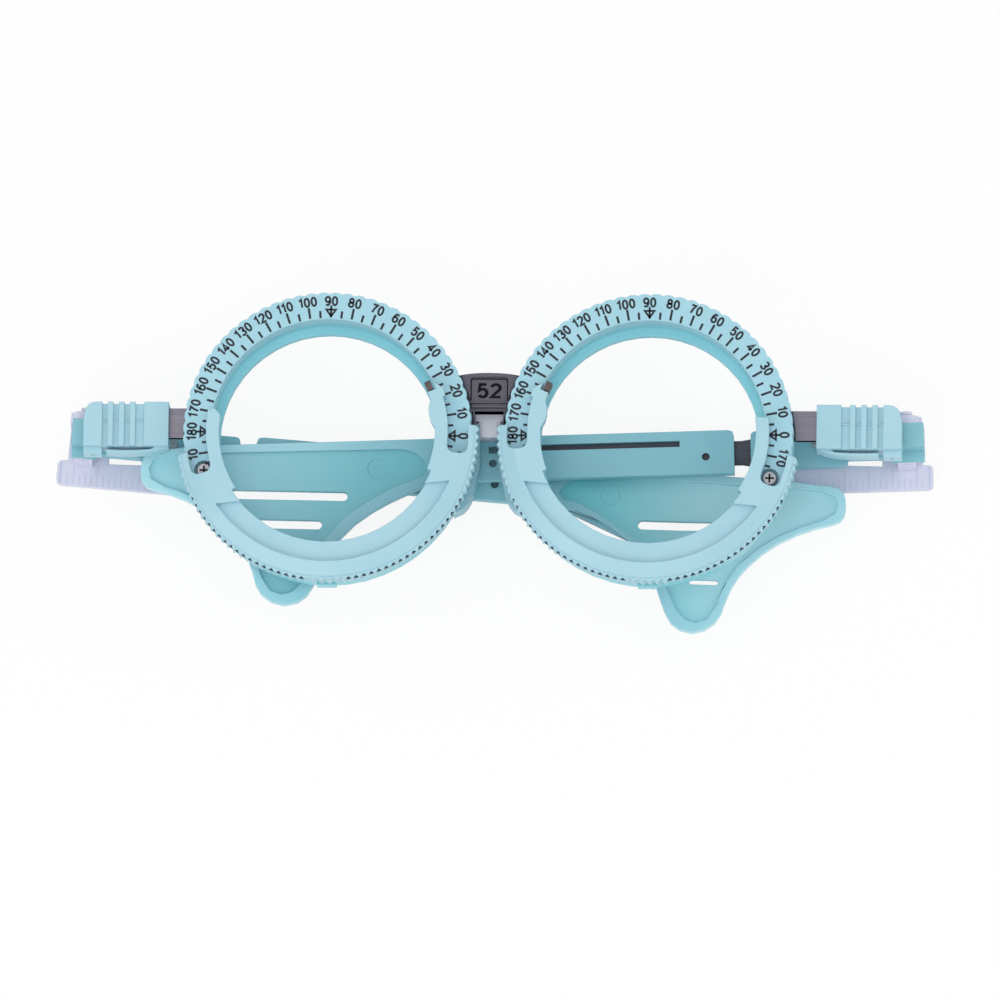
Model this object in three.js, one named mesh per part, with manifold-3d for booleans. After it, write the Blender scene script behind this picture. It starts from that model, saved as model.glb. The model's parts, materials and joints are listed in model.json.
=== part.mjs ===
// Optical trial frame with a fixed pupil distance, lying on its folded temples.
// Millimetres. +X is the viewer's right, +Y the top of the rings, +Z out of the front faces.
// Heights in the front assembly are measured from the dial faces, and negative behind them.
import * as THREE from 'three';
import { mergeVertices } from 'three/addons/utils/BufferGeometryUtils.js';
import Module from 'manifold-3d';

const wasm = await Module();
wasm.setup();

// Named sizes

const SEAT_GAP = 0.3; // between pieces that sit on each other
const RUN_GAP = 0.3; // between pieces that move past each other
const OVERCUT = 2; // how far every cutting tool runs past the material

// Dial ring, printed with the axis scale
const LENS_R = 19; // trial lens
const LENS_PLAY = 0.05;
const DIAL_BORE_R = LENS_R + LENS_PLAY;
const DIAL_W = 4.1;
const DIAL_R = DIAL_BORE_R + DIAL_W;
const DIAL_T = 3.4;
const SCALLOP_H = 0.3;
const SCALLOP_COUNT = 72;
const SCALLOP_STEP_COUNT = 3;

// Rear ring, the housing behind the dial
const REAR_LEDGE = 0.15;
const REAR_R = DIAL_R + REAR_LEDGE;
const REAR_DEPTH = 9.4; // dial face to the back of the rear ring
const SHELF_DEPTH = 5.6; // dial face to the shelf that a trial lens rests on
const LIP_W = 1.35;
const LIP_R = DIAL_BORE_R - LIP_W;
const LIP_DEPTH = 7;
const REAR_FLARE = 2.8; // how far the bore opens behind the lip
const REAR_ROUND = 0.6;
const INDEX_TAB_W = 3.2;
const INDEX_TAB_H = 0.9;
const INDEX_TAB_T = 2.3;

// Lens carrier, a knurled U that turns in front of the dial
const CARRIER_LIFT = 0.4;
const CARRIER_TOP = 2.6;
const CARRIER_FLOOR = 1.6; // front of the recessed band
const SKIRT_DEPTH = 1.3;
const SKIRT_RUN = 0.25; // radial gap between the skirt and the scallops
const SKIRT_WALL = 0.4;
const SKIRT_R = DIAL_R + SCALLOP_H + SKIRT_RUN;
const CARRIER_R = SKIRT_R + SKIRT_WALL;
const RIM_R = SKIRT_R + SKIRT_WALL / 2;
const ARM_COVER = 1.55; // how far the arms reach in over the lens
const ARM_BORE_R = DIAL_BORE_R - ARM_COVER;
const BAND_COVER = 0.85;
const BAND_BORE_R = DIAL_BORE_R - BAND_COVER;
const BAND_RIM_W = 2.5;
const BAND_RIM_R = CARRIER_R - BAND_RIM_W;
const WINDOW_IN = 0.55;
const WINDOW_R0 = DIAL_BORE_R + WINDOW_IN;
const WINDOW_RIM_W = 1.2;
const WINDOW_R1 = CARRIER_R - WINDOW_RIM_W;
const WINDOW_ROUND = 1.25;
const RIM_SLOPE_W = 2.2;
const RIM_SLOPE_R = CARRIER_R - RIM_SLOPE_W;
const RIM_EDGE_Z = 1.2;
const TOOTH_H = 0.5;
const TOOTH_DEG = 3;
const BAND_DROP = 10.25; // from the ring's axis down to the ends of the recessed band
const BAND_DEG = 55; // half angle that the band certainly covers
const WINDOW_DEG = 76.4;
const WINDOW_LEFT_NASAL_DEG = 74.3; // the left nasal window reaches further down
const WINDOW_RIGHT_TEMPORAL_DEG = 72; // and so does the right temporal one
const RIM_DEG = 87;
const ARM_DEG = 110;
const ARM_IN_DEG = 63; // from here on the arms reach further in than the band
const TIP_DEG0 = 101; // widened tip of the nasal arm, with a slanted end
const TIP_DEG1 = 109.3;
const TIP_SLANT_DEG = 4.2;
const TIP_W = 0.4;
const CATCH_H = 0.8;
const CATCH_R = 4.5;
const CATCH_DEG = 93.5;
const CARRIER_TURN_DEG = 6; // turn at rest, towards the nose

// Leaf spring under the nasal arm, with its end turned up in a notch of the arm
const SPRING_IN = 0.1;
const SPRING_R0 = ARM_BORE_R + SPRING_IN;
const SPRING_W = 1;
const SPRING_T = 0.4;
const SPRING_DEG0 = 70;
const SPRING_DEG1 = 111.5;
const SPRING_CURL_DEG = 106.6;
const SPRING_CURL_TOP = 1.8;
const NOTCH_DEG = 105.6;

// Screw in the dial
const SCREW_PLACE = 1.8;
const SCREW_PLACE_R = DIAL_BORE_R + SCREW_PLACE;
const SCREW_LEFT_DEG = 17; // below the temporal side
const SCREW_RIGHT_DEG = 19.6;
const SCREW_CROWN_SHARE = 0.8;
const SCREW_HEAD_R = 1.3;
const SCREW_HEAD_T = 0.55;
const SCREW_SINK = 0.35;
const SCREW_SHANK_R = 0.55;
const SCREW_LENGTH = 2.4;
const CROSS_W = 0.32;
const CROSS_L = 1.5;
const CROSS_DEPTH = 0.3;

// Bridge and the saddle behind it
const CARRIER_GAP = 2.8; // between the two carriers
const PUPIL_DISTANCE = 2 * (CARRIER_R + TOOTH_H) + CARRIER_GAP; // 52, as marked
const BRIDGE_LOW = 4.4;
const BRIDGE_TOP = 10.1;
const BRIDGE_ARCH = 0.45;
const BRIDGE_FRONT = 1.5; // how far it lies behind the dial faces
const BRIDGE_T = 3.4;
const BRIDGE_SHELF = 1.15;
const BRIDGE_SHELF_SET = 0.5;
const BRIDGE_LEDGE = 0.5; // second step, below the shelf
const BRIDGE_PRONG_LOW = 1.7;
const BRIDGE_PRONG_W = 0.35;
const BRIDGE_PRONG_SHARE = 0.4; // width of a prong at its foot
const PANEL_W = 6.1;
const PANEL_H = 4.1;
const PANEL_DEPTH = 0.35;
const PANEL_ROUND = 0.5;
const SADDLE_LOW = 0.7;
const SADDLE_TOP = 9.2;
const SADDLE_T = 3.2;

// Nose pads, moulded lobes on the nasal side of the rear rings
const PAD_TOP = 3;
const PAD_LOW = 12;
const PAD_HALF_GAP = 1.55;
const PAD_FRONT = 5.2;
const PAD_REACH = 9.2;

// Side bar and ribbed slider
const BAR_Y = 2.8;
const BAR_H = 4.9;
const BAR_T = 1;
const BAR_FRONT = 5.2;
const BAR_IN_BLOCK = 9.4;
const BAR_SHOWN_LEFT = 2.7; // between the ring and the slider
const BAR_SHOWN_RIGHT = 3.7;
const BLOCK_LEFT_X = PUPIL_DISTANCE / 2 + REAR_R + BAR_SHOWN_LEFT;
const BLOCK_RIGHT_X = PUPIL_DISTANCE / 2 + REAR_R + BAR_SHOWN_RIGHT;
const BLOCK_L = 13.8;
const BLOCK_TOP = 3.15; // above the bar's middle line
const BLOCK_LOW = 4.1;
const BLOCK_FRONT = 3.5;
const BLOCK_T = 4.5;
const BLOCK_ROUND = 1.9;
const BLOCK_DRAFT = 0.35;
const BLOCK_TRAVEL_IN = 2;
const GRIP_START = 4;
const GRIP_LEAD = 0.5; // extra width of the first groove
const GRIP_GROOVE_W = 0.9;
const GRIP_RIB_W = 0.9;
const GRIP_DEPTH = 0.55;
const GROOVE_COUNT = 4;
const SEAM_W = 0.25;
const SEAM_H = 0.2;
const LATCH_DROP = 1;
const LATCH_T = 0.5;
const LUG_W = 3;
const LUG_DROP = 1.15;
const LATCH_SLIT = 0.7;
const LATCH_SET = 1.1;
const LATCH_BACK = 0.4;
const LUG_HOLE_R = 0.4;

// Hinge
const HINGE_Y = 1.05;
const HINGE_SET = 4.5; // hinge axes behind the rear rings
const HINGE_DEPTH = REAR_DEPTH + HINGE_SET;
const HINGE_OUT = 14.2; // slider's inner end to the hinge axis
const BARREL_R = 2.35;
const BARREL_LOW = 2.75;
const BARREL_TOP = 3.05;
const LOW_EAR_T = 1.25; // lower ear, behind the knuckle's front apron
const LOW_EAR_R = 1.5;
const PIN_SEAT_SHARE = 0.75; // of the lower ear
const APRON_T = 0.5;
const HINGE_ARM_LOW = 0.95;
const HINGE_FACE_OUT = 2.4;
const PIN_R = 0.6;
const PIN_HEAD_R = 1.1;
const PIN_HEAD_T = 0.5;

// Temple, in its own frame: u from the hinge to the ear, v up, w towards the head
const LEFT_DROOP_DEG = 4.7;
const RIGHT_DROOP_DEG = 2.2;
const LEFT_FOLD_DEG = 1.4;
const RIGHT_FOLD_DEG = 1.3;
const EAR_T = 1.8;
const EAR_OUT = 2.6;
const EAR_FRONT = 2.2;
const BRACKET_WALL = 1.2;
const BRACKET_W = 4.1; // hinge axis to the front of the bracket's wall
const BRACKET_IN = 4;
const RULER_TOP = 1.95;
const RULER_H = 4;
const RULER_OUT = 4.2;
const RULER_END = 22;
const RULER_ROUND = 0.9;
const RULER_RIM = 0.5;
const RULER_RIM_T = 0.25;
const PLATE_START = 2.8;
const PLATE_END = 25.2;
const PLATE_TOP = 3.3;
const PLATE_LOW = 1.6;
const PLATE_T = 2.6;
const PLATE_TONGUE = 1.1;
const PLATE_ROOT_END = 9.5;
const PLATE_ROUND = 0.8;
const STRIP_T = 0.8;
const STRIP_H = 4.5;
const STRIP_WAIST = 0.3;
const STRIP_START = 11.5;
const STRIP_END = 60;
const PLATE_SCREW_U = 14.5;
const PLATE_SCREW_V = 1;
const PLATE_SCREW_R = 0.85;
const PLATE_SCREW_T = 0.55;

// Temple arm: the sleeve over the strip and the ear wing
const SLEEVE_START = 27.9;
const SLEEVE_END = 76;
const SLEEVE_H = 7.2;
const SLEEVE_T = 2.8;
const SLEEVE_ROUND = 0.9;
const SLEEVE_BACK_SET = 0.6; // the sleeve's back stops short of its lower edge
const CHANNEL_END = 71;
const SLOT_START = 36.7;
const SLOT_END = 59.1;
const SLOT_V = 1.55;
const SLOT_H = 1;
const PEG_U = 32.5;
const PEG_V = -0.7;
const PEG_R = 0.65;
const TAIL_PEG_U = 67;
const TAIL_PEG_V = -0.85;
const TAIL_PEG_R = 0.65;
const KEY_U = 66.8;
const KEY_V = 1.4;
const KEY_W = 1.6;
const KEY_H = 1.15;
const WING_END = 124.1;
const WING_TOP = 3.6;
const WING_LOW = 23.4;
const WING_T = 1.8;
const WING_RECESS = 0.7;
const EJECTOR_U = 85.8;
const EJECTOR_V = -1;
const EJECTOR_R = 1.6;
const EJECTOR_DEPTH = 0.12;
const WING_SLOT_H = 1.5;
const WING_SLOT_PITCH = 4.6;
const WING_SLOT_V = -5.5;
const WING_SLOT_U0 = 90.7;
const WING_SLOT_U1 = 110;
const WING_SLOT_STEP = 4.1;
const WING_SLOT_END_STEP = 2.7;
const WING_SLOT_TILT_DEG = 2.7;
const WING_SLOT_COUNT = 3;
const FLARE_START = 113;
const FLARE_END_H = 1.2;
const TIP_FLARE_START = 16;
const TIP_FLARE_H = 0.9;
const LEFT_LIFT = 0.95; // the left arm is bent up by this much at its far end
const LEFT_CURL = 2.4; // and its lower edge towards the head
const CURL_START = 3;
const LEFT_TWIST = 2.2; // and its horn turned
const TWIST_START = 98;
const FLARE_CUT_COUNT = 2;
const CURL_CUT_COUNT = 1;

const SLOT_ROUND_SHARE = 0.45;

// Facet counts
const ARC_STEP_DEG = 7.5;
const ARC_END_DEG = 0.5; // no grid point closer than this to an arc's end
const DOWN_DEG = -90;
const HALF_TURN_DEG = 180;
const RING_FACETS = (2 * HALF_TURN_DEG) / ARC_STEP_DEG;
const ROUND_FACETS = 4;
const PIN_FACETS = 12;

// Outline of the ear wing in shares of its length and height, from the sleeve's top edge round
// the horn, the ear side and the tip, and back along the arch.
const hornShares = [
  [0.8, 0.995], [0.905, 0.975], [0.955, 0.97], [0.982, 0.945], [0.996, 0.89], [1, 0.82],
  [0.993, 0.762], [0.972, 0.735], [0.918, 0.708], [0.852, 0.657], [0.786, 0.578], [0.735, 0.487],
  [0.7, 0.405], [0.672, 0.3], [0.655, 0.19], [0.642, 0.105],
];
const tipShares = [[0.6, 0.035], [0.54, 0], [0.476, 0.02], [0.435, 0.075]];
const archShares = [
  [0.405, 0.17], [0.375, 0.27], [0.325, 0.4], [0.255, 0.52], [0.185, 0.6], [0.11, 0.662],
  [0.055, 0.7],
];
// The recess in the wing's inner face, drawn in the same shares.
const recessShares = [
  [0.115, 0.94], [0.075, 0.915], [0.045, 0.865], [0.03, 0.805], [0.055, 0.765], [0.12, 0.728],
  [0.2, 0.662], [0.285, 0.57], [0.355, 0.455], [0.41, 0.3], [0.45, 0.165], [0.495, 0.085],
  [0.545, 0.062], [0.592, 0.09], [0.625, 0.18], [0.655, 0.36], [0.69, 0.46], [0.745, 0.565],
  [0.82, 0.668], [0.9, 0.732], [0.955, 0.775], [0.972, 0.83], [0.965, 0.895], [0.93, 0.935],
  [0.8, 0.948], [0.45, 0.945],
];
// Free edge of a nose pad from its top down, in shares of its width and height.
const padShares = [
  [0, 1], [0, 0.54], [0.17, 0.32], [0.27, 0.21], [0.43, 0.116], [0.63, 0.052], [0.887, 0.019],
];
// Sag of the slider's latch below the slider, in shares of its length and drop.
const latchShares = [[0.03, 0], [0.12, 0.45], [0.3, 0.85], [0.55, 1], [0.8, 1], [1, 0.92]];

// Materials

const plastic = (color) => new THREE.MeshStandardMaterial({ color, roughness: 0.42, metalness: 0 });
const metal = (color) => new THREE.MeshStandardMaterial({ color, roughness: 0.35, metalness: 1 });
const dialBlue = plastic('#a6d3e0');
const carrierBlue = plastic('#b2dcea');
const templeTeal = plastic('#7ec6d0');
const padBlue = plastic('#9cc7d6');
const lavender = plastic('#cfcfe8');
const bridgeGrey = plastic('#5a5560');
const barGrey = metal('#8d8890');
const screwSteel = metal('#a7a2a6');
const springSteel = metal('#8a7f80');

// Tools

const rad = THREE.MathUtils.degToRad;

function solid(geometry) {
  const bare = geometry.clone();
  bare.deleteAttribute('normal');
  bare.deleteAttribute('uv');
  const merged = mergeVertices(bare);
  return new wasm.Manifold(new wasm.Mesh({
    numProp: 3,
    vertProperties: new Float32Array(merged.attributes.position.array),
    triVerts: new Uint32Array(merged.index.array),
  }));
}

function geometryOf(manifold) {
  const mesh = manifold.getMesh();
  const geometry = new THREE.BufferGeometry();
  geometry.setAttribute('position', new THREE.BufferAttribute(new Float32Array(mesh.vertProperties), 3));
  geometry.setIndex(new THREE.BufferAttribute(new Uint32Array(mesh.triVerts), 1));
  return geometry;
}

function prism(shape, z0, z1) {
  const geometry = new THREE.ExtrudeGeometry(shape, {
    depth: z1 - z0,
    bevelEnabled: false,
    steps: 1,
    curveSegments: ROUND_FACETS,
  });
  return solid(geometry.translate(0, 0, z0));
}

function brick(x0, x1, y0, y1, z0, z1) {
  const geometry = new THREE.BoxGeometry(x1 - x0, y1 - y0, z1 - z0);
  return solid(geometry.translate((x0 + x1) / 2, (y0 + y1) / 2, (z0 + z1) / 2));
}

// A round bar along Z, or a frustum when the two radii differ.
function post(x, y, z0, z1, r0, r1 = r0, facets = PIN_FACETS) {
  const geometry = new THREE.CylinderGeometry(r1, r0, z1 - z0, facets);
  return solid(geometry.rotateX(Math.PI / 2).translate(x, y, (z0 + z1) / 2));
}

// A round bar along Y.
function pin(x, z, y0, y1, r) {
  const geometry = new THREE.CylinderGeometry(r, r, y1 - y0, PIN_FACETS);
  return solid(geometry.translate(x, (y0 + y1) / 2, z));
}

// A body of revolution about Z from a closed profile of [radius, height] points.
function revolve(profile, facets = RING_FACETS) {
  const points = profile.map(([r, z]) => new THREE.Vector2(r, z));
  points.push(points[0].clone());
  return solid(new THREE.LatheGeometry(points, facets).rotateX(Math.PI / 2));
}

const polar = (r, degrees) => [r * Math.cos(rad(degrees)), r * Math.sin(rad(degrees))];

// An arc with its ends and, between them, points on one grid of angles that all arcs share.
function arc(r, from, to) {
  const way = Math.sign(to - from);
  const places = [from];
  const first = (Math.floor((way * from) / ARC_STEP_DEG) + 1) * ARC_STEP_DEG;
  for (let a = first; a < way * to; a += ARC_STEP_DEG) {
    if (a - way * from > ARC_END_DEG && way * to - a > ARC_END_DEG) places.push(way * a);
  }
  return [...places, to].map((a) => polar(r, a));
}

function outline(points) {
  return new THREE.Shape(points.map(([x, y]) => new THREE.Vector2(x, y)));
}

// An annular sector. Angles are measured from straight down, positive towards +X.
function sector(r0, r1, from, to, outerTo = to) {
  return outline([
    ...arc(r1, from + DOWN_DEG, outerTo + DOWN_DEG),
    ...arc(r0, to + DOWN_DEG, from + DOWN_DEG),
  ]);
}

// A rectangle with rounded corners.
function roundedRect(x0, x1, y0, y1, r) {
  const shape = new THREE.Shape();
  shape.moveTo(x0 + r, y0);
  shape.lineTo(x1 - r, y0);
  shape.absarc(x1 - r, y0 + r, r, -Math.PI / 2, 0);
  shape.lineTo(x1, y1 - r);
  shape.absarc(x1 - r, y1 - r, r, 0, Math.PI / 2);
  shape.lineTo(x0 + r, y1);
  shape.absarc(x0 + r, y1 - r, r, Math.PI / 2, Math.PI);
  shape.lineTo(x0, y0 + r);
  shape.absarc(x0 + r, y0 + r, r, Math.PI, Math.PI * 1.5);
  return shape;
}

// The same geometry for the other side of the frame.
function mirrored(geometry) {
  const copy = geometry.clone().applyMatrix4(new THREE.Matrix4().makeScale(-1, 1, 1));
  const index = Array.from(copy.index.array);
  for (let i = 0; i < index.length; i += 3) [index[i], index[i + 1]] = [index[i + 1], index[i]];
  copy.setIndex(index);
  return copy;
}

function piece(name, body, material, right) {
  const geometry = right ? mirrored(geometryOf(body)) : geometryOf(body);
  geometry.computeVertexNormals();
  const mesh = new THREE.Mesh(geometry, material);
  mesh.name = name;
  return mesh;
}

// Splits every triangle that crosses one of the given planes, so that a flat plate can be bent.
function sliced(geometry, axis, places) {
  let triangles = [];
  const plain = geometry.toNonIndexed().attributes.position;
  for (let i = 0; i < plain.count; i += 3) {
    triangles.push([0, 1, 2].map((k) => new THREE.Vector3().fromBufferAttribute(plain, i + k)));
  }
  for (const place of places) {
    triangles = triangles.flatMap((corners) => splitTriangle(corners, axis, place));
  }
  const split = new THREE.BufferGeometry().setFromPoints(triangles.flat());
  return mergeVertices(split);
}

function splitTriangle(corners, axis, place) {
  const side = corners.map((p) => Math.sign(Math.round((p[axis] - place) * 1e5)));
  if (!side.includes(1) || !side.includes(-1)) return [corners];
  const below = [];
  const above = [];
  corners.forEach((p, i) => {
    const next = corners[(i + 1) % 3];
    const nextSide = side[(i + 1) % 3];
    if (side[i] <= 0) below.push(p);
    if (side[i] >= 0) above.push(p);
    if (side[i] * nextSide < 0) {
      // The cut is worked out from the lower end, so both neighbours get the same point.
      const [low, high] = side[i] < 0 ? [p, next] : [next, p];
      const cut = low.clone().lerp(high, (place - low[axis]) / (high[axis] - low[axis]));
      below.push(cut);
      above.push(cut);
    }
  });
  return [below, above].flatMap((ring) => {
    const fan = [];
    for (let i = 1; i + 1 < ring.length; i += 1) fan.push([ring[0], ring[i], ring[i + 1]]);
    return fan;
  });
}

// Rings

const screwPlace = (degrees) => polar(SCREW_PLACE_R, HALF_TURN_DEG + degrees);

function dialRing(screwDeg) {
  const pitch = (2 * HALF_TURN_DEG) / SCALLOP_COUNT;
  const edge = [];
  for (let i = 0; i < SCALLOP_COUNT * SCALLOP_STEP_COUNT; i += 1) {
    const phase = (i % SCALLOP_STEP_COUNT) / SCALLOP_STEP_COUNT;
    edge.push(polar(DIAL_R + SCALLOP_H * Math.sin(Math.PI * phase), pitch * (i / SCALLOP_STEP_COUNT)));
  }
  const bore = post(0, 0, -DIAL_T - OVERCUT, OVERCUT, DIAL_BORE_R, DIAL_BORE_R, RING_FACETS);
  const [x, y] = screwPlace(screwDeg);
  const seat = post(x, y, -SCREW_SINK - SCREW_HEAD_T - SEAT_GAP, OVERCUT, SCREW_HEAD_R + SEAT_GAP);
  const shankHole = post(x, y, -DIAL_T - OVERCUT, 0, SCREW_SHANK_R + SEAT_GAP);
  return prism(outline(edge), -DIAL_T, 0).subtract(bore).subtract(seat).subtract(shankHole);
}

function rearRing(screwDeg) {
  const front = -DIAL_T - SEAT_GAP;
  const ring = revolve([
    [DIAL_BORE_R, front],
    [DIAL_BORE_R, -SHELF_DEPTH],
    [LIP_R, -SHELF_DEPTH],
    [LIP_R, -LIP_DEPTH],
    [LIP_R + REAR_FLARE, -REAR_DEPTH],
    [REAR_R - REAR_ROUND, -REAR_DEPTH],
    [REAR_R, -REAR_DEPTH + REAR_ROUND],
    [REAR_R, front],
  ]);
  const tab = brick(-INDEX_TAB_W / 2, INDEX_TAB_W / 2, -REAR_R - INDEX_TAB_H, -REAR_R + INDEX_TAB_H,
    front - INDEX_TAB_T, front);
  const [x, y] = screwPlace(screwDeg);
  const shankHole = post(x, y, front - SCREW_LENGTH, OVERCUT, SCREW_SHANK_R + SEAT_GAP);
  return ring.add(tab).subtract(shankHole);
}

function dialScrew(screwDeg) {
  const [x, y] = screwPlace(screwDeg);
  const top = -SCREW_SINK + SEAT_GAP;
  const head = post(x, y, top - SCREW_HEAD_T, top, SCREW_HEAD_R, SCREW_HEAD_R * SCREW_CROWN_SHARE);
  const shank = post(x, y, top - SCREW_HEAD_T - SCREW_LENGTH, top - SCREW_HEAD_T / 2, SCREW_SHANK_R);
  const slotA = brick(x - CROSS_L / 2, x + CROSS_L / 2, y - CROSS_W / 2, y + CROSS_W / 2,
    top - CROSS_DEPTH, top + OVERCUT);
  const slotB = brick(x - CROSS_W / 2, x + CROSS_W / 2, y - CROSS_L / 2, y + CROSS_L / 2,
    top - CROSS_DEPTH, top + OVERCUT);
  return head.add(shank).subtract(slotA).subtract(slotB);
}

// The left carrier, with its nasal arm on +X.
function lensCarrier(temporalDeg, nasalDeg) {
  const flat = (r0, r1, from, to, top) => prism(sector(r0, r1, from, to), CARRIER_LIFT, top);
  let body = flat(BAND_BORE_R, RIM_R, -BAND_DEG, BAND_DEG, CARRIER_FLOOR)
    .add(flat(BAND_RIM_R, RIM_R, -RIM_DEG, RIM_DEG, CARRIER_TOP));
  // The arms are thicker than the band between them, down to a step straight across.
  const aboveStep = brick(-CARRIER_R, CARRIER_R, -BAND_DROP, CARRIER_R, CARRIER_LIFT, CARRIER_TOP);
  for (const side of [-1, 1]) {
    body = body
      .add(flat(BAND_BORE_R, RIM_R, side * BAND_DEG, side * RIM_DEG, CARRIER_FLOOR))
      .add(flat(BAND_BORE_R, RIM_R, side * BAND_DEG, side * RIM_DEG, CARRIER_TOP).intersect(aboveStep))
      .add(flat(ARM_BORE_R, RIM_R, side * ARM_IN_DEG, side * RIM_DEG, CARRIER_TOP))
      .add(flat(ARM_BORE_R, WINDOW_R0, side * ARM_IN_DEG, side * ARM_DEG, CARRIER_TOP));
  }
  // The catch on the nasal arm keeps the lens from lifting out.
  const [bx, by] = polar(ARM_BORE_R - CATCH_H + CATCH_R, CATCH_DEG + DOWN_DEG);
  body = body.add(post(bx, by, CARRIER_LIFT, CARRIER_TOP, CATCH_R, CATCH_R, 2 * PIN_FACETS)
    .intersect(flat(ARM_BORE_R - CATCH_R, DIAL_BORE_R, 0, HALF_TURN_DEG, CARRIER_TOP)));
  // Its tip is narrowed to a slanted end beside the turned-up end of the spring.
  const notchR = SPRING_R0 + SPRING_W + SEAT_GAP;
  body = body
    .subtract(prism(sector(ARM_BORE_R - OVERCUT, WINDOW_R0 + OVERCUT, NOTCH_DEG, HALF_TURN_DEG),
      0, CARRIER_TOP + OVERCUT))
    .subtract(carrierWindow(-1, temporalDeg))
    .subtract(carrierWindow(1, nasalDeg))
    .add(prism(sector(notchR, WINDOW_R0 + TIP_W, TIP_DEG0, TIP_DEG1, TIP_DEG1 - TIP_SLANT_DEG),
      CARRIER_LIFT, CARRIER_TOP));
  // The sloped outer edge.
  const slope = (CARRIER_TOP - RIM_EDGE_Z) / (CARRIER_R - RIM_SLOPE_R);
  body = body.subtract(revolve([
    [RIM_SLOPE_R - OVERCUT, CARRIER_TOP + slope * OVERCUT],
    [CARRIER_R + OVERCUT, RIM_EDGE_Z - slope * OVERCUT],
    [CARRIER_R + OVERCUT, CARRIER_TOP + slope * OVERCUT + OVERCUT],
    [RIM_SLOPE_R - OVERCUT, CARRIER_TOP + slope * OVERCUT + OVERCUT],
  ]));
  // Knurled skirt round the edge of the dial.
  const teeth = [];
  const count = Math.round((2 * RIM_DEG) / TOOTH_DEG);
  for (let i = 0; i <= 2 * count; i += 1) {
    const tip = i % 2 === 1 ? TOOTH_H : 0;
    teeth.push(polar(CARRIER_R + tip, (i * RIM_DEG) / count - RIM_DEG + DOWN_DEG));
  }
  const inside = arc(SKIRT_R, RIM_DEG + DOWN_DEG, -RIM_DEG + DOWN_DEG);
  return body.add(prism(outline([...teeth, ...inside]), -SKIRT_DEPTH, RIM_EDGE_Z));
}

// A window over the dial, with rounded lower corners.
function carrierWindow(side, lowDeg) {
  const bottom = -OVERCUT;
  const top = CARRIER_TOP + OVERCUT;
  const mid = (WINDOW_R0 + WINDOW_R1) / 2;
  const roundDeg = THREE.MathUtils.radToDeg(WINDOW_ROUND / mid);
  const inner = WINDOW_R0 + WINDOW_ROUND;
  const outer = WINDOW_R1 - WINDOW_ROUND;
  let cut = prism(sector(WINDOW_R0, WINDOW_R1, side * (lowDeg + roundDeg), side * (ARM_DEG + roundDeg)),
    bottom, top)
    .add(prism(sector(inner, outer, side * lowDeg, side * (lowDeg + 2 * roundDeg)), bottom, top));
  for (const r of [inner, outer]) {
    const [x, y] = polar(r, side * (lowDeg + roundDeg) + DOWN_DEG);
    cut = cut.add(post(x, y, bottom, top, WINDOW_ROUND));
  }
  return cut;
}

function lensSpring() {
  const top = CARRIER_LIFT - SEAT_GAP;
  const outer = SPRING_R0 + SPRING_W;
  return prism(sector(SPRING_R0, outer, SPRING_DEG0, SPRING_DEG1), top - SPRING_T, top)
    .add(prism(sector(SPRING_R0, outer, SPRING_CURL_DEG, SPRING_DEG1), top - SPRING_T, SPRING_CURL_TOP));
}

// Bridge, saddle and nose pads

// Height on the ring's edge circle where a bridge piece meets it, as an x for a given y.
const nasalX = (r, y) => PUPIL_DISTANCE / 2 - Math.sqrt(r * r - y * y);

function between(yLow, yTop, r, arch) {
  const left = [];
  const right = [];
  for (let i = 0; i <= ROUND_FACETS; i += 1) {
    const y = yLow + ((yTop - yLow) * i) / ROUND_FACETS;
    right.push([nasalX(r, y), y]);
    left.unshift([-nasalX(r, y), y]);
  }
  const crown = [];
  const half = nasalX(r, yTop);
  for (let i = 1; i < 2 * ROUND_FACETS; i += 1) {
    const share = 1 - i / ROUND_FACETS;
    crown.push([half * share, yTop + arch * (1 - share * share)]);
  }
  return outline([...right, ...crown, ...left]);
}

function bridge() {
  const clearR = DIAL_R + SCALLOP_H + SEAT_GAP;
  const front = -BRIDGE_FRONT;
  const back = front - BRIDGE_T;
  let body = prism(between(BRIDGE_LOW, BRIDGE_TOP, clearR, BRIDGE_ARCH), back, front);
  // A stepped shelf along the lower edge and a recessed panel for the number.
  const wide = PUPIL_DISTANCE / 2;
  body = body.subtract(brick(-wide, wide, BRIDGE_LOW - OVERCUT, BRIDGE_LOW + BRIDGE_SHELF,
    front - BRIDGE_SHELF_SET, front + OVERCUT));
  body = body.subtract(brick(-wide, wide, BRIDGE_LOW - OVERCUT, BRIDGE_LOW + BRIDGE_LEDGE,
    front - 2 * BRIDGE_SHELF_SET, front));
  const panelY = BRIDGE_LOW + BRIDGE_SHELF + (BRIDGE_TOP - BRIDGE_LOW - BRIDGE_SHELF) / 2;
  body = body.subtract(prism(roundedRect(-PANEL_W / 2, PANEL_W / 2, panelY - PANEL_H / 2,
    panelY + PANEL_H / 2, PANEL_ROUND), front - PANEL_DEPTH, front + OVERCUT));
  // Prongs that follow the rings down.
  for (const side of [-1, 1]) {
    const prong = [];
    const inner = [];
    for (let i = 0; i <= ROUND_FACETS; i += 1) {
      const y = BRIDGE_PRONG_LOW + ((BRIDGE_LOW + BRIDGE_SHELF - BRIDGE_PRONG_LOW) * i) / ROUND_FACETS;
      const x = nasalX(clearR, y);
      prong.push([side * x, y]);
      const share = BRIDGE_PRONG_SHARE + ((1 - BRIDGE_PRONG_SHARE) * i) / ROUND_FACETS;
      inner.unshift([side * (x - BRIDGE_PRONG_W * share), y]);
    }
    const points = side > 0 ? [...prong, ...inner] : [...prong, ...inner].reverse();
    body = body.add(prism(outline(points), back, front - 2 * BRIDGE_SHELF_SET));
  }
  return body;
}

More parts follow.
